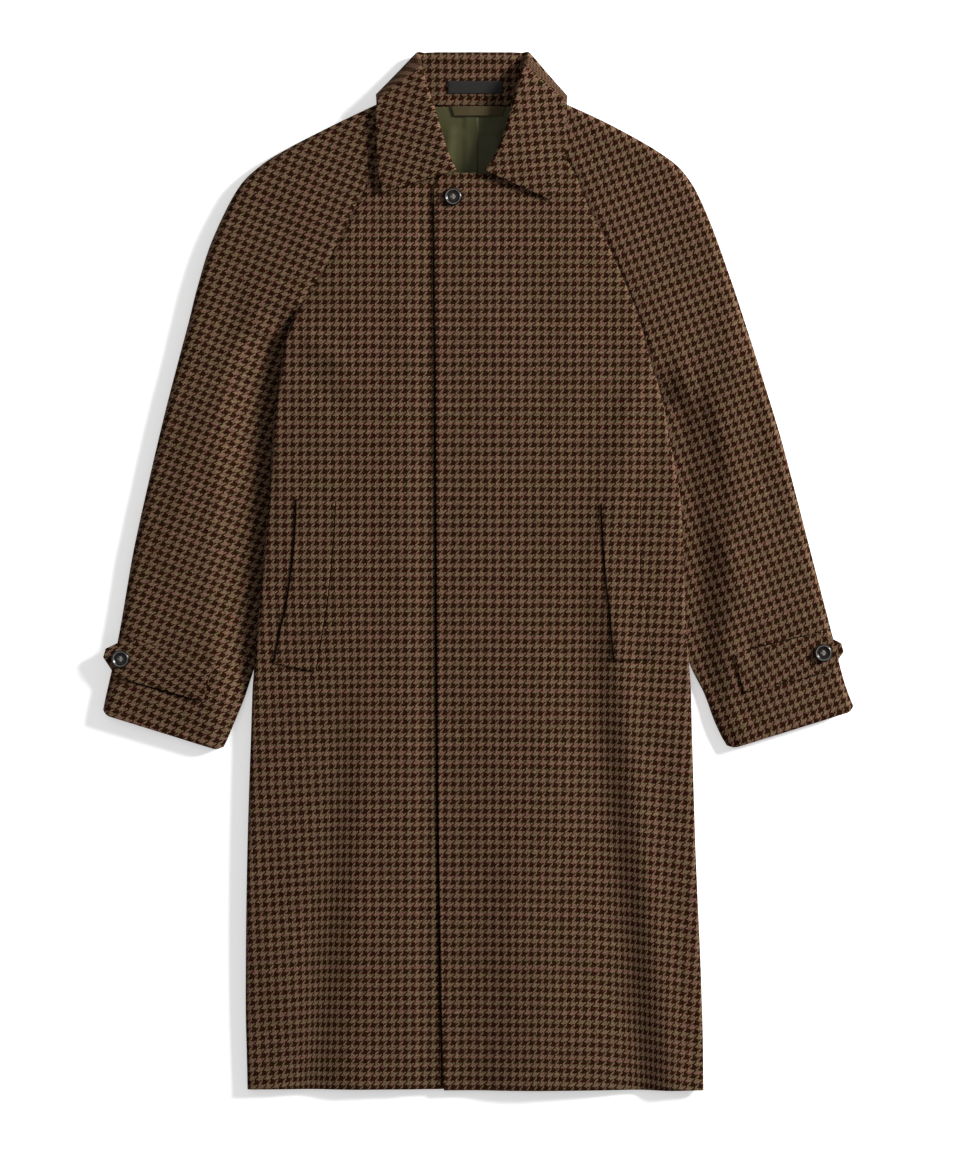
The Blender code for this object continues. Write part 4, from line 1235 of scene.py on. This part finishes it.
# %% Cuff straps
STRAP_TURN = 29.0


def strap_axes(side):
    """Start of a strap's middle line, its direction along and across, and its length."""
    strap = STRAPS[side]
    start = Vector((sign(side) * strap.seam_x, strap.seam_y))
    along = Vector((sign(side) * strap.tip_x, strap.tip_y)) - start
    length = along.length
    along.normalize()
    return start, along, Vector((-along.y, along.x)), length


def make_strap(side):
    start, along, across, length = strap_axes(side)

    def point(row, column):
        share = min((1.0 - row) * length / STRAP_POINT, 1.0)
        half = mix(STRAP_BLUNT, STRAP_WIDTH / 2, share)
        plan = start + along * length * row + across * half * (2.0 * column - 1.0)
        return on_top(plan.x, plan.y, CLOTH + LAID_ON)

    def weave(row, column, place):
        return turned_weave(place.x, place.y, sign(side) * STRAP_TURN)

    rows, columns = steps(0, 1, 48), steps(0, 1, 18)
    return cloth(f"cuff_strap_{side}_cloth", rows, columns, point, weave, CLOTH, TWEED, 0.8)


for side in ("right", "left"):
    pieces[f"pocket_welt_{side}"] = make_welt(side)
    pieces[f"cuff_strap_{side}"] = make_strap(side)
print("welts and straps lie", LAID_ON, "mm above the cloth")

# %% [markdown]
# In the neck the lining shows, a thin smooth cloth with a pleat down the middle that gives the
# shoulders room. Its soft drape is three low ridges. Cloth simulation could find more folds, but
# the patch is small, and the ridges can be put where the photo has them.

# %% Lining
Ridge = namedtuple("Ridge", "height at lean width")
RIDGES = (Ridge(1.3, -27.0, 0.10, 6.0), Ridge(0.9, 24.0, 0.0, 7.0))
PULL = Ridge(0.9, 1074.0, 0.12, 5.0)
RIDGE_TOP, FREE_BELOW, FREE_FADE = 1090.0, 1086.0, 12.0
PLEAT_RISE, PLEAT_EDGE, PLEAT_PAST = 8.0, 2.0, 1.5


def flat_weave(row, column, place):
    """Yarn coordinates of a piece that lies straight."""
    return place.x, place.y


def lining_point(y, x):
    """The lining: its rows are y and its columns x."""
    fold = ease((x - LINING_PLEAT + PLEAT_DEPTH) / PLEAT_RISE)
    fold *= ease((LINING_PLEAT + PLEAT_PAST - x) / PLEAT_EDGE)
    z = back_height(0.0, y) + CLOTH / 2 + LINING / 2 + EASE + fold * LINING
    free = ease((FREE_BELOW - y) / FREE_FADE) * (1.0 - fold)
    drape = sum(r.height * math.exp(-((x - r.at + (RIDGE_TOP - y) * r.lean) / r.width) ** 2) for r in RIDGES)
    pull = PULL.height * math.exp(-((y - PULL.at - PULL.lean * x) / PULL.width) ** 2)
    return Vector((x, y, z + free * (drape + pull)))


def make_lining():
    x0, y0, x1, y1 = LINING_BOX
    pleat = LINING_PLEAT - PLEAT_DEPTH, LINING_PLEAT + PLEAT_EDGE
    columns = steps(x0, pleat[0], 18) + steps(*pleat, 30)[1:] + steps(pleat[1], x1, 24)[1:]
    rows = steps(y0, y1, 50)
    return cloth("back_lining_cloth", rows, columns, lining_point, flat_weave, LINING, LINING_CLOTH, 0.2)


pieces["back_lining"] = make_lining()
print("lining with", len(pieces["back_lining"].data.polygons), "faces")

# %% [markdown]
# The hanger loop is a flat web, sewn at both ends, that arches a little between them. A curve with
# a flat profile could make it, but a grid gives it the same wall and weave as the other pieces. The
# label is stitched to the stand, so it takes its slope from the stand's own line.

# %% Loop and label
LABEL_GAP = 0.1


def make_loop():
    def point(row, column):
        y = mix(*LOOP_Y, column)
        rest = back_height(0.0, y) + CLOTH / 2 + EASE + LINING + SEAM + WEBBING / 2
        slant = LOOP_SLANT * (2.0 * row - 1.0) * (column - LOOP_MIDDLE)
        return Vector((mix(*LOOP_ENDS, row) + slant, y, rest + LOOP_ARCH * math.sin(math.pi * row)))

    return cloth("hanger_loop_web", steps(0, 1, 40), steps(0, 1, 8), point, flat_weave, WEBBING, WEB, 0.5)


def make_label():
    x0, y0, x1, y1 = LABEL_BOX
    low = Vector((0.0, COLLAR_BACK.neck_y, COLLAR_BACK.neck_z))
    high = Vector((0.0, COLLAR_BACK.roll_y - COLLAR_BACK.radius, COLLAR_BACK.roll_z + COLLAR_BACK.radius))

    def point(row, column):
        y = mix(y0, y1, column)
        z = mix(low.z, high.z, (y - low.y) / (high.y - low.y))
        return Vector((mix(x0, x1, row), y, z + CLOTH / 2 + SEAM + LABEL / 2 + LABEL_GAP))

    return cloth("label_tape", steps(0, 1, 20), steps(0, 1, 6), point, flat_weave, LABEL, TAPE, 0.25)


pieces["hanger_loop"], pieces["label"] = make_loop(), make_label()
print("neck pieces", [pieces[name].name for name in ("hanger_loop", "label")])

# %% [markdown]
# ## Buttons
# A coat button is turned on a lathe, with a rim and a well, and then drilled four times. The Screw
# modifier turns it from half a section and a Boolean drills it, in the order of the workshop. A
# cylinder with loop cuts could do as well, but its rim would take more steps to shape.

# %% The section of a button
Turned = namedtuple("Turned", "share height")
BUTTON_PROFILE = (
    Turned(0.0, 2.3), Turned(0.18, 2.25), Turned(0.34, 2.0), Turned(0.54, 1.9), Turned(0.66, 2.3),
    Turned(0.74, 3.2), Turned(0.80, 3.6), Turned(0.86, 3.4), Turned(0.95, 2.7), Turned(1.0, 1.7),
    Turned(0.96, 0.7), Turned(0.84, 0.0), Turned(0.0, 0.0),
)
BUTTON_RADIUS = BUTTON_WIDTH / 2 * MM
HOLE_OFF, HOLE_RADIUS, HOLE_DEPTH, HOLE_MIDDLE = 1.5, 0.9, 8.0, 1.5
BAR_RADIUS, BAR_LENGTH, BAR_APART, BAR_HEIGHT = 0.26, 3.4, 0.42, 2.35


def section(name):
    """Half a section of the button as a line of edges."""
    outline = bmesh.new()
    places = [(share * BUTTON_RADIUS, 0.0, height * MM) for share, height in BUTTON_PROFILE]
    points = [outline.verts.new(place) for place in places]
    for first, second in zip(points, points[1:]):
        outline.edges.new((first, second))
    mesh = bpy.data.meshes.new(name)
    outline.to_mesh(mesh)
    outline.free()
    return mesh


def rods(name, places, radius, depth, segments):
    """One mesh with a round rod at each of the places."""
    made = bmesh.new()
    size = {"radius1": radius * MM, "radius2": radius * MM, "depth": depth * MM}
    for place in places:
        rod = bmesh.ops.create_cone(made, cap_ends=True, segments=segments, **size)
        bmesh.ops.transform(made, matrix=place, verts=rod["verts"])
    mesh = bpy.data.meshes.new(name)
    made.to_mesh(mesh)
    made.free()
    return mesh


print("button section with", len(BUTTON_PROFILE), "points")

# %% Turn and drill the buttons
def drill(obj):
    """Cut the four holes with rods that are taken away again."""
    corners = ((1, 1), (1, -1), (-1, 1), (-1, -1))
    middles = [Vector((x * HOLE_OFF, y * HOLE_OFF, HOLE_MIDDLE)) * MM for x, y in corners]
    places = [Matrix.Translation(middle) for middle in middles]
    cutter = add_mesh("holes", rods("holes", places, HOLE_RADIUS, HOLE_DEPTH, 16), HORN)
    cut = obj.modifiers.new("holes", "BOOLEAN")
    cut.object = cutter
    finished(obj)
    bpy.data.objects.remove(cutter)


def make_button(name, node):
    low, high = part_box(node)
    centre = Vector(((low.x + high.x) / 2, (low.y + high.y) / 2, low.z))
    obj = add_mesh(name, section(name), HORN)
    turned_round = obj.modifiers.new("turned", "SCREW")
    turned_round.steps = turned_round.render_steps = 48
    turned_round.use_merge_vertices = True
    turned_round.merge_threshold = 0.00001
    drill(obj)
    ring = obj.data.uv_layers.new(name="ring")
    for loop in obj.data.loops:
        place = obj.data.vertices[loop.vertex_index].co
        ring.data[loop.index].uv = (place.xy.length / BUTTON_RADIUS, 0.0)
    obj.data.transform(Matrix.Translation(centre))
    obj.data.shade_smooth()
    obj.data.set_sharp_from_angle(angle=math.radians(40))
    return obj, centre


def make_thread(name, centre):
    """Two bars of thread between the holes, three strands each."""
    turn = Matrix.Rotation(math.radians(90), 4, "Y")
    places = []
    for y in (-HOLE_OFF, HOLE_OFF):
        for strand in (-1, 0, 1):
            place = Vector((0, y + BAR_APART * strand, BAR_HEIGHT)) * MM
            places.append(Matrix.Translation(place) @ turn)
    mesh = rods(name, places, BAR_RADIUS, BAR_LENGTH, 8)
    mesh.transform(Matrix.Translation(centre))
    obj = add_mesh(name, mesh, BUTTON_THREAD_AND_GLINT)
    obj.data.shade_smooth()
    return obj


threads = []
for node in ("button_neck", "button_cuff_right", "button_cuff_left"):
    pieces[node], centre = make_button(f"{node}_horn", node)
    threads.append(make_thread(f"{node}_thread", centre))
    print(node, "at", [round(v * 1000, 1) for v in centre])

# %% [markdown]
# ## Stitches
# A sewn line is a row of short grains of thread. They could be one displaced curve, but at this
# size the gaps between them are what is seen. A node group turns a line into a curve, sets a point
# on it at each stitch and puts a small grain there, so one group sews every seam.

# %% The stitch group
def stitch_group():
    group = bpy.data.node_groups.new("stitches", "GeometryNodeTree")
    face = group.interface
    face.new_socket("Geometry", in_out="INPUT", socket_type="NodeSocketGeometry")
    for name in ("Pitch", "Length", "Thickness"):
        face.new_socket(name, in_out="INPUT", socket_type="NodeSocketFloat")
    face.new_socket("Thread", in_out="INPUT", socket_type="NodeSocketMaterial")
    face.new_socket("Geometry", in_out="OUTPUT", socket_type="NodeSocketGeometry")

    def node(kind, **settings):
        made = group.nodes.new(kind)
        for key, value in settings.items():
            setattr(made, key, value)
        return made

    given, result = node("NodeGroupInput"), node("NodeGroupOutput")
    curve, points = node("GeometryNodeMeshToCurve"), node("GeometryNodeResampleCurve", mode="LENGTH")
    grain, placed = node("GeometryNodeMeshUVSphere"), node("GeometryNodeInstanceOnPoints")
    along, turn = node("GeometryNodeInputTangent"), node("FunctionNodeAlignRotationToVector", axis="X")
    size, real = node("ShaderNodeCombineXYZ"), node("GeometryNodeRealizeInstances")
    dyed = node("GeometryNodeSetMaterial")
    grain.inputs["Segments"].default_value, grain.inputs["Rings"].default_value = 8, 5
    grain.inputs["Radius"].default_value = 0.5
    links = (
        (given, "Geometry", curve, "Mesh"), (curve, "Curve", points, "Curve"),
        (given, "Pitch", points, "Length"), (points, "Curve", placed, "Points"),
        (grain, "Mesh", placed, "Instance"), (along, "Tangent", turn, "Vector"),
        (turn, "Rotation", placed, "Rotation"), (given, "Length", size, "X"),
        (given, "Thickness", size, "Y"), (given, "Thickness", size, "Z"),
        (size, "Vector", placed, "Scale"), (placed, "Instances", real, "Geometry"),
        (real, "Geometry", dyed, "Geometry"), (given, "Thread", dyed, "Material"),
        (dyed, "Geometry", result, "Geometry"),
    )
    for giver, output, taker, socket in links:
        group.links.new(giver.outputs[output], taker.inputs[socket])
    return group


STITCHES = stitch_group()
SOCKETS = {item.name: item.identifier for item in STITCHES.interface.items_tree if item.in_out == "INPUT"}
print("stitch group with", len(STITCHES.nodes), "nodes")

# %% [markdown]
# Each seam has its own run: how far apart the stitches are, how long and how thick. Fine ones are
# topstitching. Thick close ones are painted shadow: dark lines of thread where the cloth only has shade,
# in the fly's gutter, in the pocket mouths and beside the cuff straps.

# %% Runs of stitches
Run = namedtuple("Run", "pitch length thickness")
FINE = Run(2.6, 1.9, 0.42)
# Painted shadow: the thinner dark line in the left pocket's mouth
THIN_SHADOW_RUN = Run(1.3, 1.5, 0.8)
SIDE = Run(1.2, 1.5, 1.0)
# Painted shadow: the thick dark line in the fly's gutter
FLY_SHADOW_RUN = Run(3.0, 4.0, 1.7)
# Painted shadow: dark lines in the right pocket's mouth and beside the cuff straps
SHADOW_LINE_RUN = Run(1.0, 1.8, 1.7)
TACK = Run(0.9, 0.8, 0.55)


def stitch_run(name, lines, run):
    """One seam: lines of points in millimetres become rows of stitches in one mesh."""
    places, edges = [], []
    for line in lines:
        edges += [(len(places) + i, len(places) + i + 1) for i in range(len(line) - 1)]
        places += [point * MM + SHIFT for point in line]
    mesh = bpy.data.meshes.new(name)
    mesh.from_pydata(places, edges, [])
    obj = bpy.data.objects.new(name, mesh)
    bpy.context.scene.collection.objects.link(obj)
    sew = obj.modifiers.new("stitches", "NODES")
    sew.node_group = STITCHES
    sew[SOCKETS["Pitch"]] = run.pitch * MM
    sew[SOCKETS["Length"]] = run.length * MM
    sew[SOCKETS["Thickness"]] = run.thickness * MM
    sew[SOCKETS["Thread"]] = THREAD_AND_SHADOW
    finished(obj)
    obj.data.shade_smooth()
    return obj


print("stitch pitches", [run.pitch for run in (FINE, THIN_SHADOW_RUN, SIDE, FLY_SHADOW_RUN, SHADOW_LINE_RUN, TACK)], "mm")

# %% Lines of the seams
ON_CLOTH = CLOTH / 2 + 0.5
FLY_SEEN = ((4.0, 688.0), (4.5, 400.0))
# Where the fly's painted shadow line runs, and how far beside the left front's edge
FLY_SHADOW_SEEN, FLY_SHADOW_BESIDE = (6.0, 992.0), 2.2
WELT_SEEN, WELT_INNER, WELT_MOUTH = (0.1, 3.9), -0.02, 1.02
TACK_ROW, TACK_SEEN = 0.12, (0.72, 0.97)
# Where the painted shadow lines beside the straps run
STRAP_SEEN, STRAP_BESIDE, STRAP_ABOVE = (0.12, 0.72), 0.6, CLOTH / 2 + 0.3


def fly_line():
    """The straight topstitching that holds the hidden fly."""
    (x0, y0), (x1, y1) = FLY_SEEN
    return [on_top(mix(x0, x1, share), mix(y0, y1, share), CLOTH / 2) for share in steps(0.0, 1.0, 40)]


def fly_shadow_line():
    """A painted shadow line: dark thread along the fly, in the corner where the left front lies on the right
    one.
    """
    line = []
    for y in steps(*FLY_SHADOW_SEEN, 160):
        plan = Vector((fly_edge(y) - FLY_SHADOW_BESIDE, y))
        z = lay_height(*plan) + relief(*plan) + fly_height("right", plan) - UNDER_DROP
        line.append(Vector((plan.x, plan.y, z + ON_CLOTH)))
    return line


def welt_line(side, column):
    return [on_welt(side, row, column, ON_CLOTH) for row in steps(*WELT_SEEN, 40)]


def welt_tack(side):
    """A short bar across the opening edge of a welt."""
    return [on_welt(side, TACK_ROW, column, CLOTH * 1.5 + LAID_ON) for column in steps(*TACK_SEEN, 8)]


def strap_shadow_line(side, way):
    """A painted shadow line of dark thread along the long edge of a strap: way is +1 for its upper and -1
    for its lower edge.
    """
    start, along, across, length = strap_axes(side)
    up = across if along.x > 0 else -across
    line = []
    for share in steps(*STRAP_SEEN, 24):
        plan = start + along * length * share + up * way * (STRAP_WIDTH / 2 + STRAP_BESIDE)
        line.append(on_top(plan.x, plan.y, STRAP_ABOVE))
    return line


print("fly topstitching from", FLY_SEEN[0], "to", FLY_SEEN[1], "mm")

# %% Sew the seams
# The mouth of each welt and one edge of each strap get a painted shadow line of dark thread
MOUTH_SHADOW_RUN = {"right": SHADOW_LINE_RUN, "left": THIN_SHADOW_RUN}
STRAP_SHADOW_SIDE = {"right": -1.0, "left": 1.0}
seams = [
    stitch_run("fly_stitches", [fly_line()], FINE),
    stitch_run("fly_shadow_stitches", [fly_shadow_line()], FLY_SHADOW_RUN),
]
for side in ("right", "left"):
    seams += [
        stitch_run(f"welt_{side}_seam", [welt_line(side, WELT_INNER)], SIDE),
        stitch_run(f"welt_{side}_mouth_shadow", [welt_line(side, WELT_MOUTH)], MOUTH_SHADOW_RUN[side]),
        stitch_run(f"welt_{side}_tacks", [welt_tack(side)], TACK),
        stitch_run(f"cuff_strap_{side}_edge", [strap_shadow_line(side, STRAP_SHADOW_SIDE[side])], SHADOW_LINE_RUN),
    ]
print([f"{obj.name}: {len(obj.data.polygons)} faces" for obj in seams])

# %% [markdown]
# ## The pieces ride on one body
# Nothing in the coat moves on a joint, so every piece rides on the one body. Each shell takes the
# place of its solid, which is hidden. Threads and seams replace nothing: they ride along.

# %% Ride and replace
for node, obj in pieces.items():
    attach(obj, "root")
    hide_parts(node)
for obj in threads + seams:
    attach(obj, "root")
print(len(pieces), "pieces replace their solids")

# %% [markdown]
# A maker who cuts the cloth needs its flat size, which the laid shell doesn't give. Each sheet
# states the size that it is cut to, in metres, and its area in square metres. The area is half of
# the shell's surface, because a shell has two faces, and never more than its cut.

# %% Cut sizes of the sheets
Cut = namedtuple("Cut", "width length rests_on")
CUTS = {
    "front_right": Cut(0.31, 1.11, ["back"]),
    "front_left": Cut(0.31, 1.11, ["front_right"]),
    "back": Cut(0.53, 1.11, ["sleeve_right", "sleeve_left"]),
    "sleeve_right": Cut(0.36, 0.75, ["back"]),
    "sleeve_left": Cut(0.36, 0.75, ["back"]),
    "collar": Cut(0.14, 0.56, ["front_left", "back"]),
    "pocket_welt_right": Cut(0.046, 0.196, ["front_right"]),
    "pocket_welt_left": Cut(0.044, 0.18, ["front_left"]),
    "cuff_strap_right": Cut(0.045, 0.125, ["sleeve_right"]),
    "cuff_strap_left": Cut(0.045, 0.125, ["sleeve_left"]),
    "back_lining": Cut(0.105, 0.12, ["back"]),
    "hanger_loop": Cut(0.0125, 0.06, ["back_lining"]),
    "label": Cut(0.0145, 0.062, ["collar"]),
}


def shown_area(obj):
    return sum(face.area for face in obj.data.polygons) / 2


for node, cut in CUTS.items():
    print(f"{node:18s} cut {cut.width} x {cut.length} m, area {shown_area(pieces[node]):.4f} m2")

# %% [markdown]
# ## Floor, light and camera
# The photo is a cut-out on white. A white floor alone would carry a hard shadow, so it glows
# faintly and the shadow stays pale. A shadow could also be left out, but then the coat would seem
# to float.

# %% Floor
FLOOR_GLOW, FLOOR_HALF, FLOOR_DROP = 0.42, 6.0, -0.0004

# Boxes under the coat where the floor doesn't glow, so that its hollows stay dark
Shade = namedtuple("Shade", "half_width low high")
SHADES = (Shade(0.200, -0.57, 0.46), Shade(0.250, -0.05, 0.40), Shade(0.095, 0.45, 0.53))


def floor_glow(g, place):
    """Strength of the glow: nothing inside the boxes."""
    x, y = g.split(place)
    glow = FLOOR_GLOW
    for shade in SHADES:
        beside = g.math("GREATER_THAN", g.math("ABSOLUTE", x), shade.half_width)
        off_centre = g.math("ABSOLUTE", g.math("SUBTRACT", y, (shade.low + shade.high) / 2))
        beyond = g.math("GREATER_THAN", off_centre, (shade.high - shade.low) / 2)
        glow = g.math("MULTIPLY", glow, g.math("MAXIMUM", beside, beyond))
    return glow


def make_floor():
    mesh = bpy.data.meshes.new("floor")
    around = ((-1, -1), (1, -1), (1, 1), (-1, 1))
    corners = [(x * FLOOR_HALF, y * FLOOR_HALF, FLOOR_DROP) for x, y in around]
    mesh.from_pydata(corners, [], [(0, 1, 2, 3)])
    g = Nodes("paper")
    place = g.object_place()
    paper = g.colour(g.noise(place, 3.0, 2.0), (0.93, 0.93, 0.93), (0.95, 0.95, 0.95))
    glow = floor_glow(g, place)
    material = g.finish(
        Base_Color=paper, Roughness=0.9, Emission_Color=(1.0, 1.0, 1.0, 1.0), Emission_Strength=glow,
    )
    obj = add_mesh("floor", mesh, material)


make_floor()
print("floor glows with strength", FLOOR_GLOW, "outside", len(SHADES), "boxes")

# %% [markdown]
# In the photo the folds are bright on their right and upper side, so one low lamp stands there. It
# is far off, which lights the hem nearly as much as the collar. A wide weak lamp and a pale sky fill the
# shadows. One dome picture could do all of this, but lamps can be moved one at a time.

# %% Lights
Lamp = namedtuple("Lamp", "place size power")
LAMPS = {
    "key": Lamp((4.27, 1.99, 2.2), (1.2, 1.2), 638.0),
    "fill": Lamp((-1.2, 0.8, 3.2), (2.5, 2.5), 12.0),
}
SKY = 0.27


def area_light(name, given):
    lamp = bpy.data.lights.new(name, "AREA")
    lamp.shape = "RECTANGLE"
    lamp.size, lamp.size_y = given.size
    lamp.energy = given.power
    obj = bpy.data.objects.new(name, lamp)
    obj.location = given.place
    obj.rotation_euler = (-Vector(given.place)).to_track_quat("-Z", "Y").to_euler()
    bpy.context.scene.collection.objects.link(obj)


for name, given in LAMPS.items():
    area_light(name, given)
world = bpy.data.worlds.new("studio")
bpy.context.scene.world = world
world.use_nodes = True
world.node_tree.nodes["Background"].inputs["Color"].default_value = (1.0, 1.0, 1.0, 1.0)
world.node_tree.nodes["Background"].inputs["Strength"].default_value = SKY
print("lamps", {name: given.power for name, given in LAMPS.items()}, "W")

# %% [markdown]
# The coat was photographed from straight above. The camera hangs over the middle of the photo, as
# high as its lens needs to see all 1152 pixel rows at 1.12 mm each. A parallel view would do as
# well, but a long lens keeps the little perspective of a real photo.

# %% Camera
PHOTO_SIZE, ORIGIN_PIXEL, PIXEL = (960, 1152), (475.5, 1090), 1.12
LENS, SENSOR, COAT_TOP = 100.0, 36.0, 0.015
photo_middle = Vector((PHOTO_SIZE[0] / 2 - ORIGIN_PIXEL[0], ORIGIN_PIXEL[1] - PHOTO_SIZE[1] / 2, 0.0))
lens = bpy.data.cameras.new("camera")
lens.lens, lens.sensor_width = LENS, SENSOR
camera = bpy.data.objects.new("camera", lens)
distance = PHOTO_SIZE[1] * PIXEL * MM * LENS / SENSOR
camera.location = photo_middle * PIXEL * MM + SHIFT + Vector((0.0, 0.0, distance + COAT_TOP))
bpy.context.scene.collection.objects.link(camera)
bpy.context.scene.camera = camera
bpy.context.scene.view_settings.view_transform = "Standard"
print("camera", [round(v, 3) for v in camera.location])
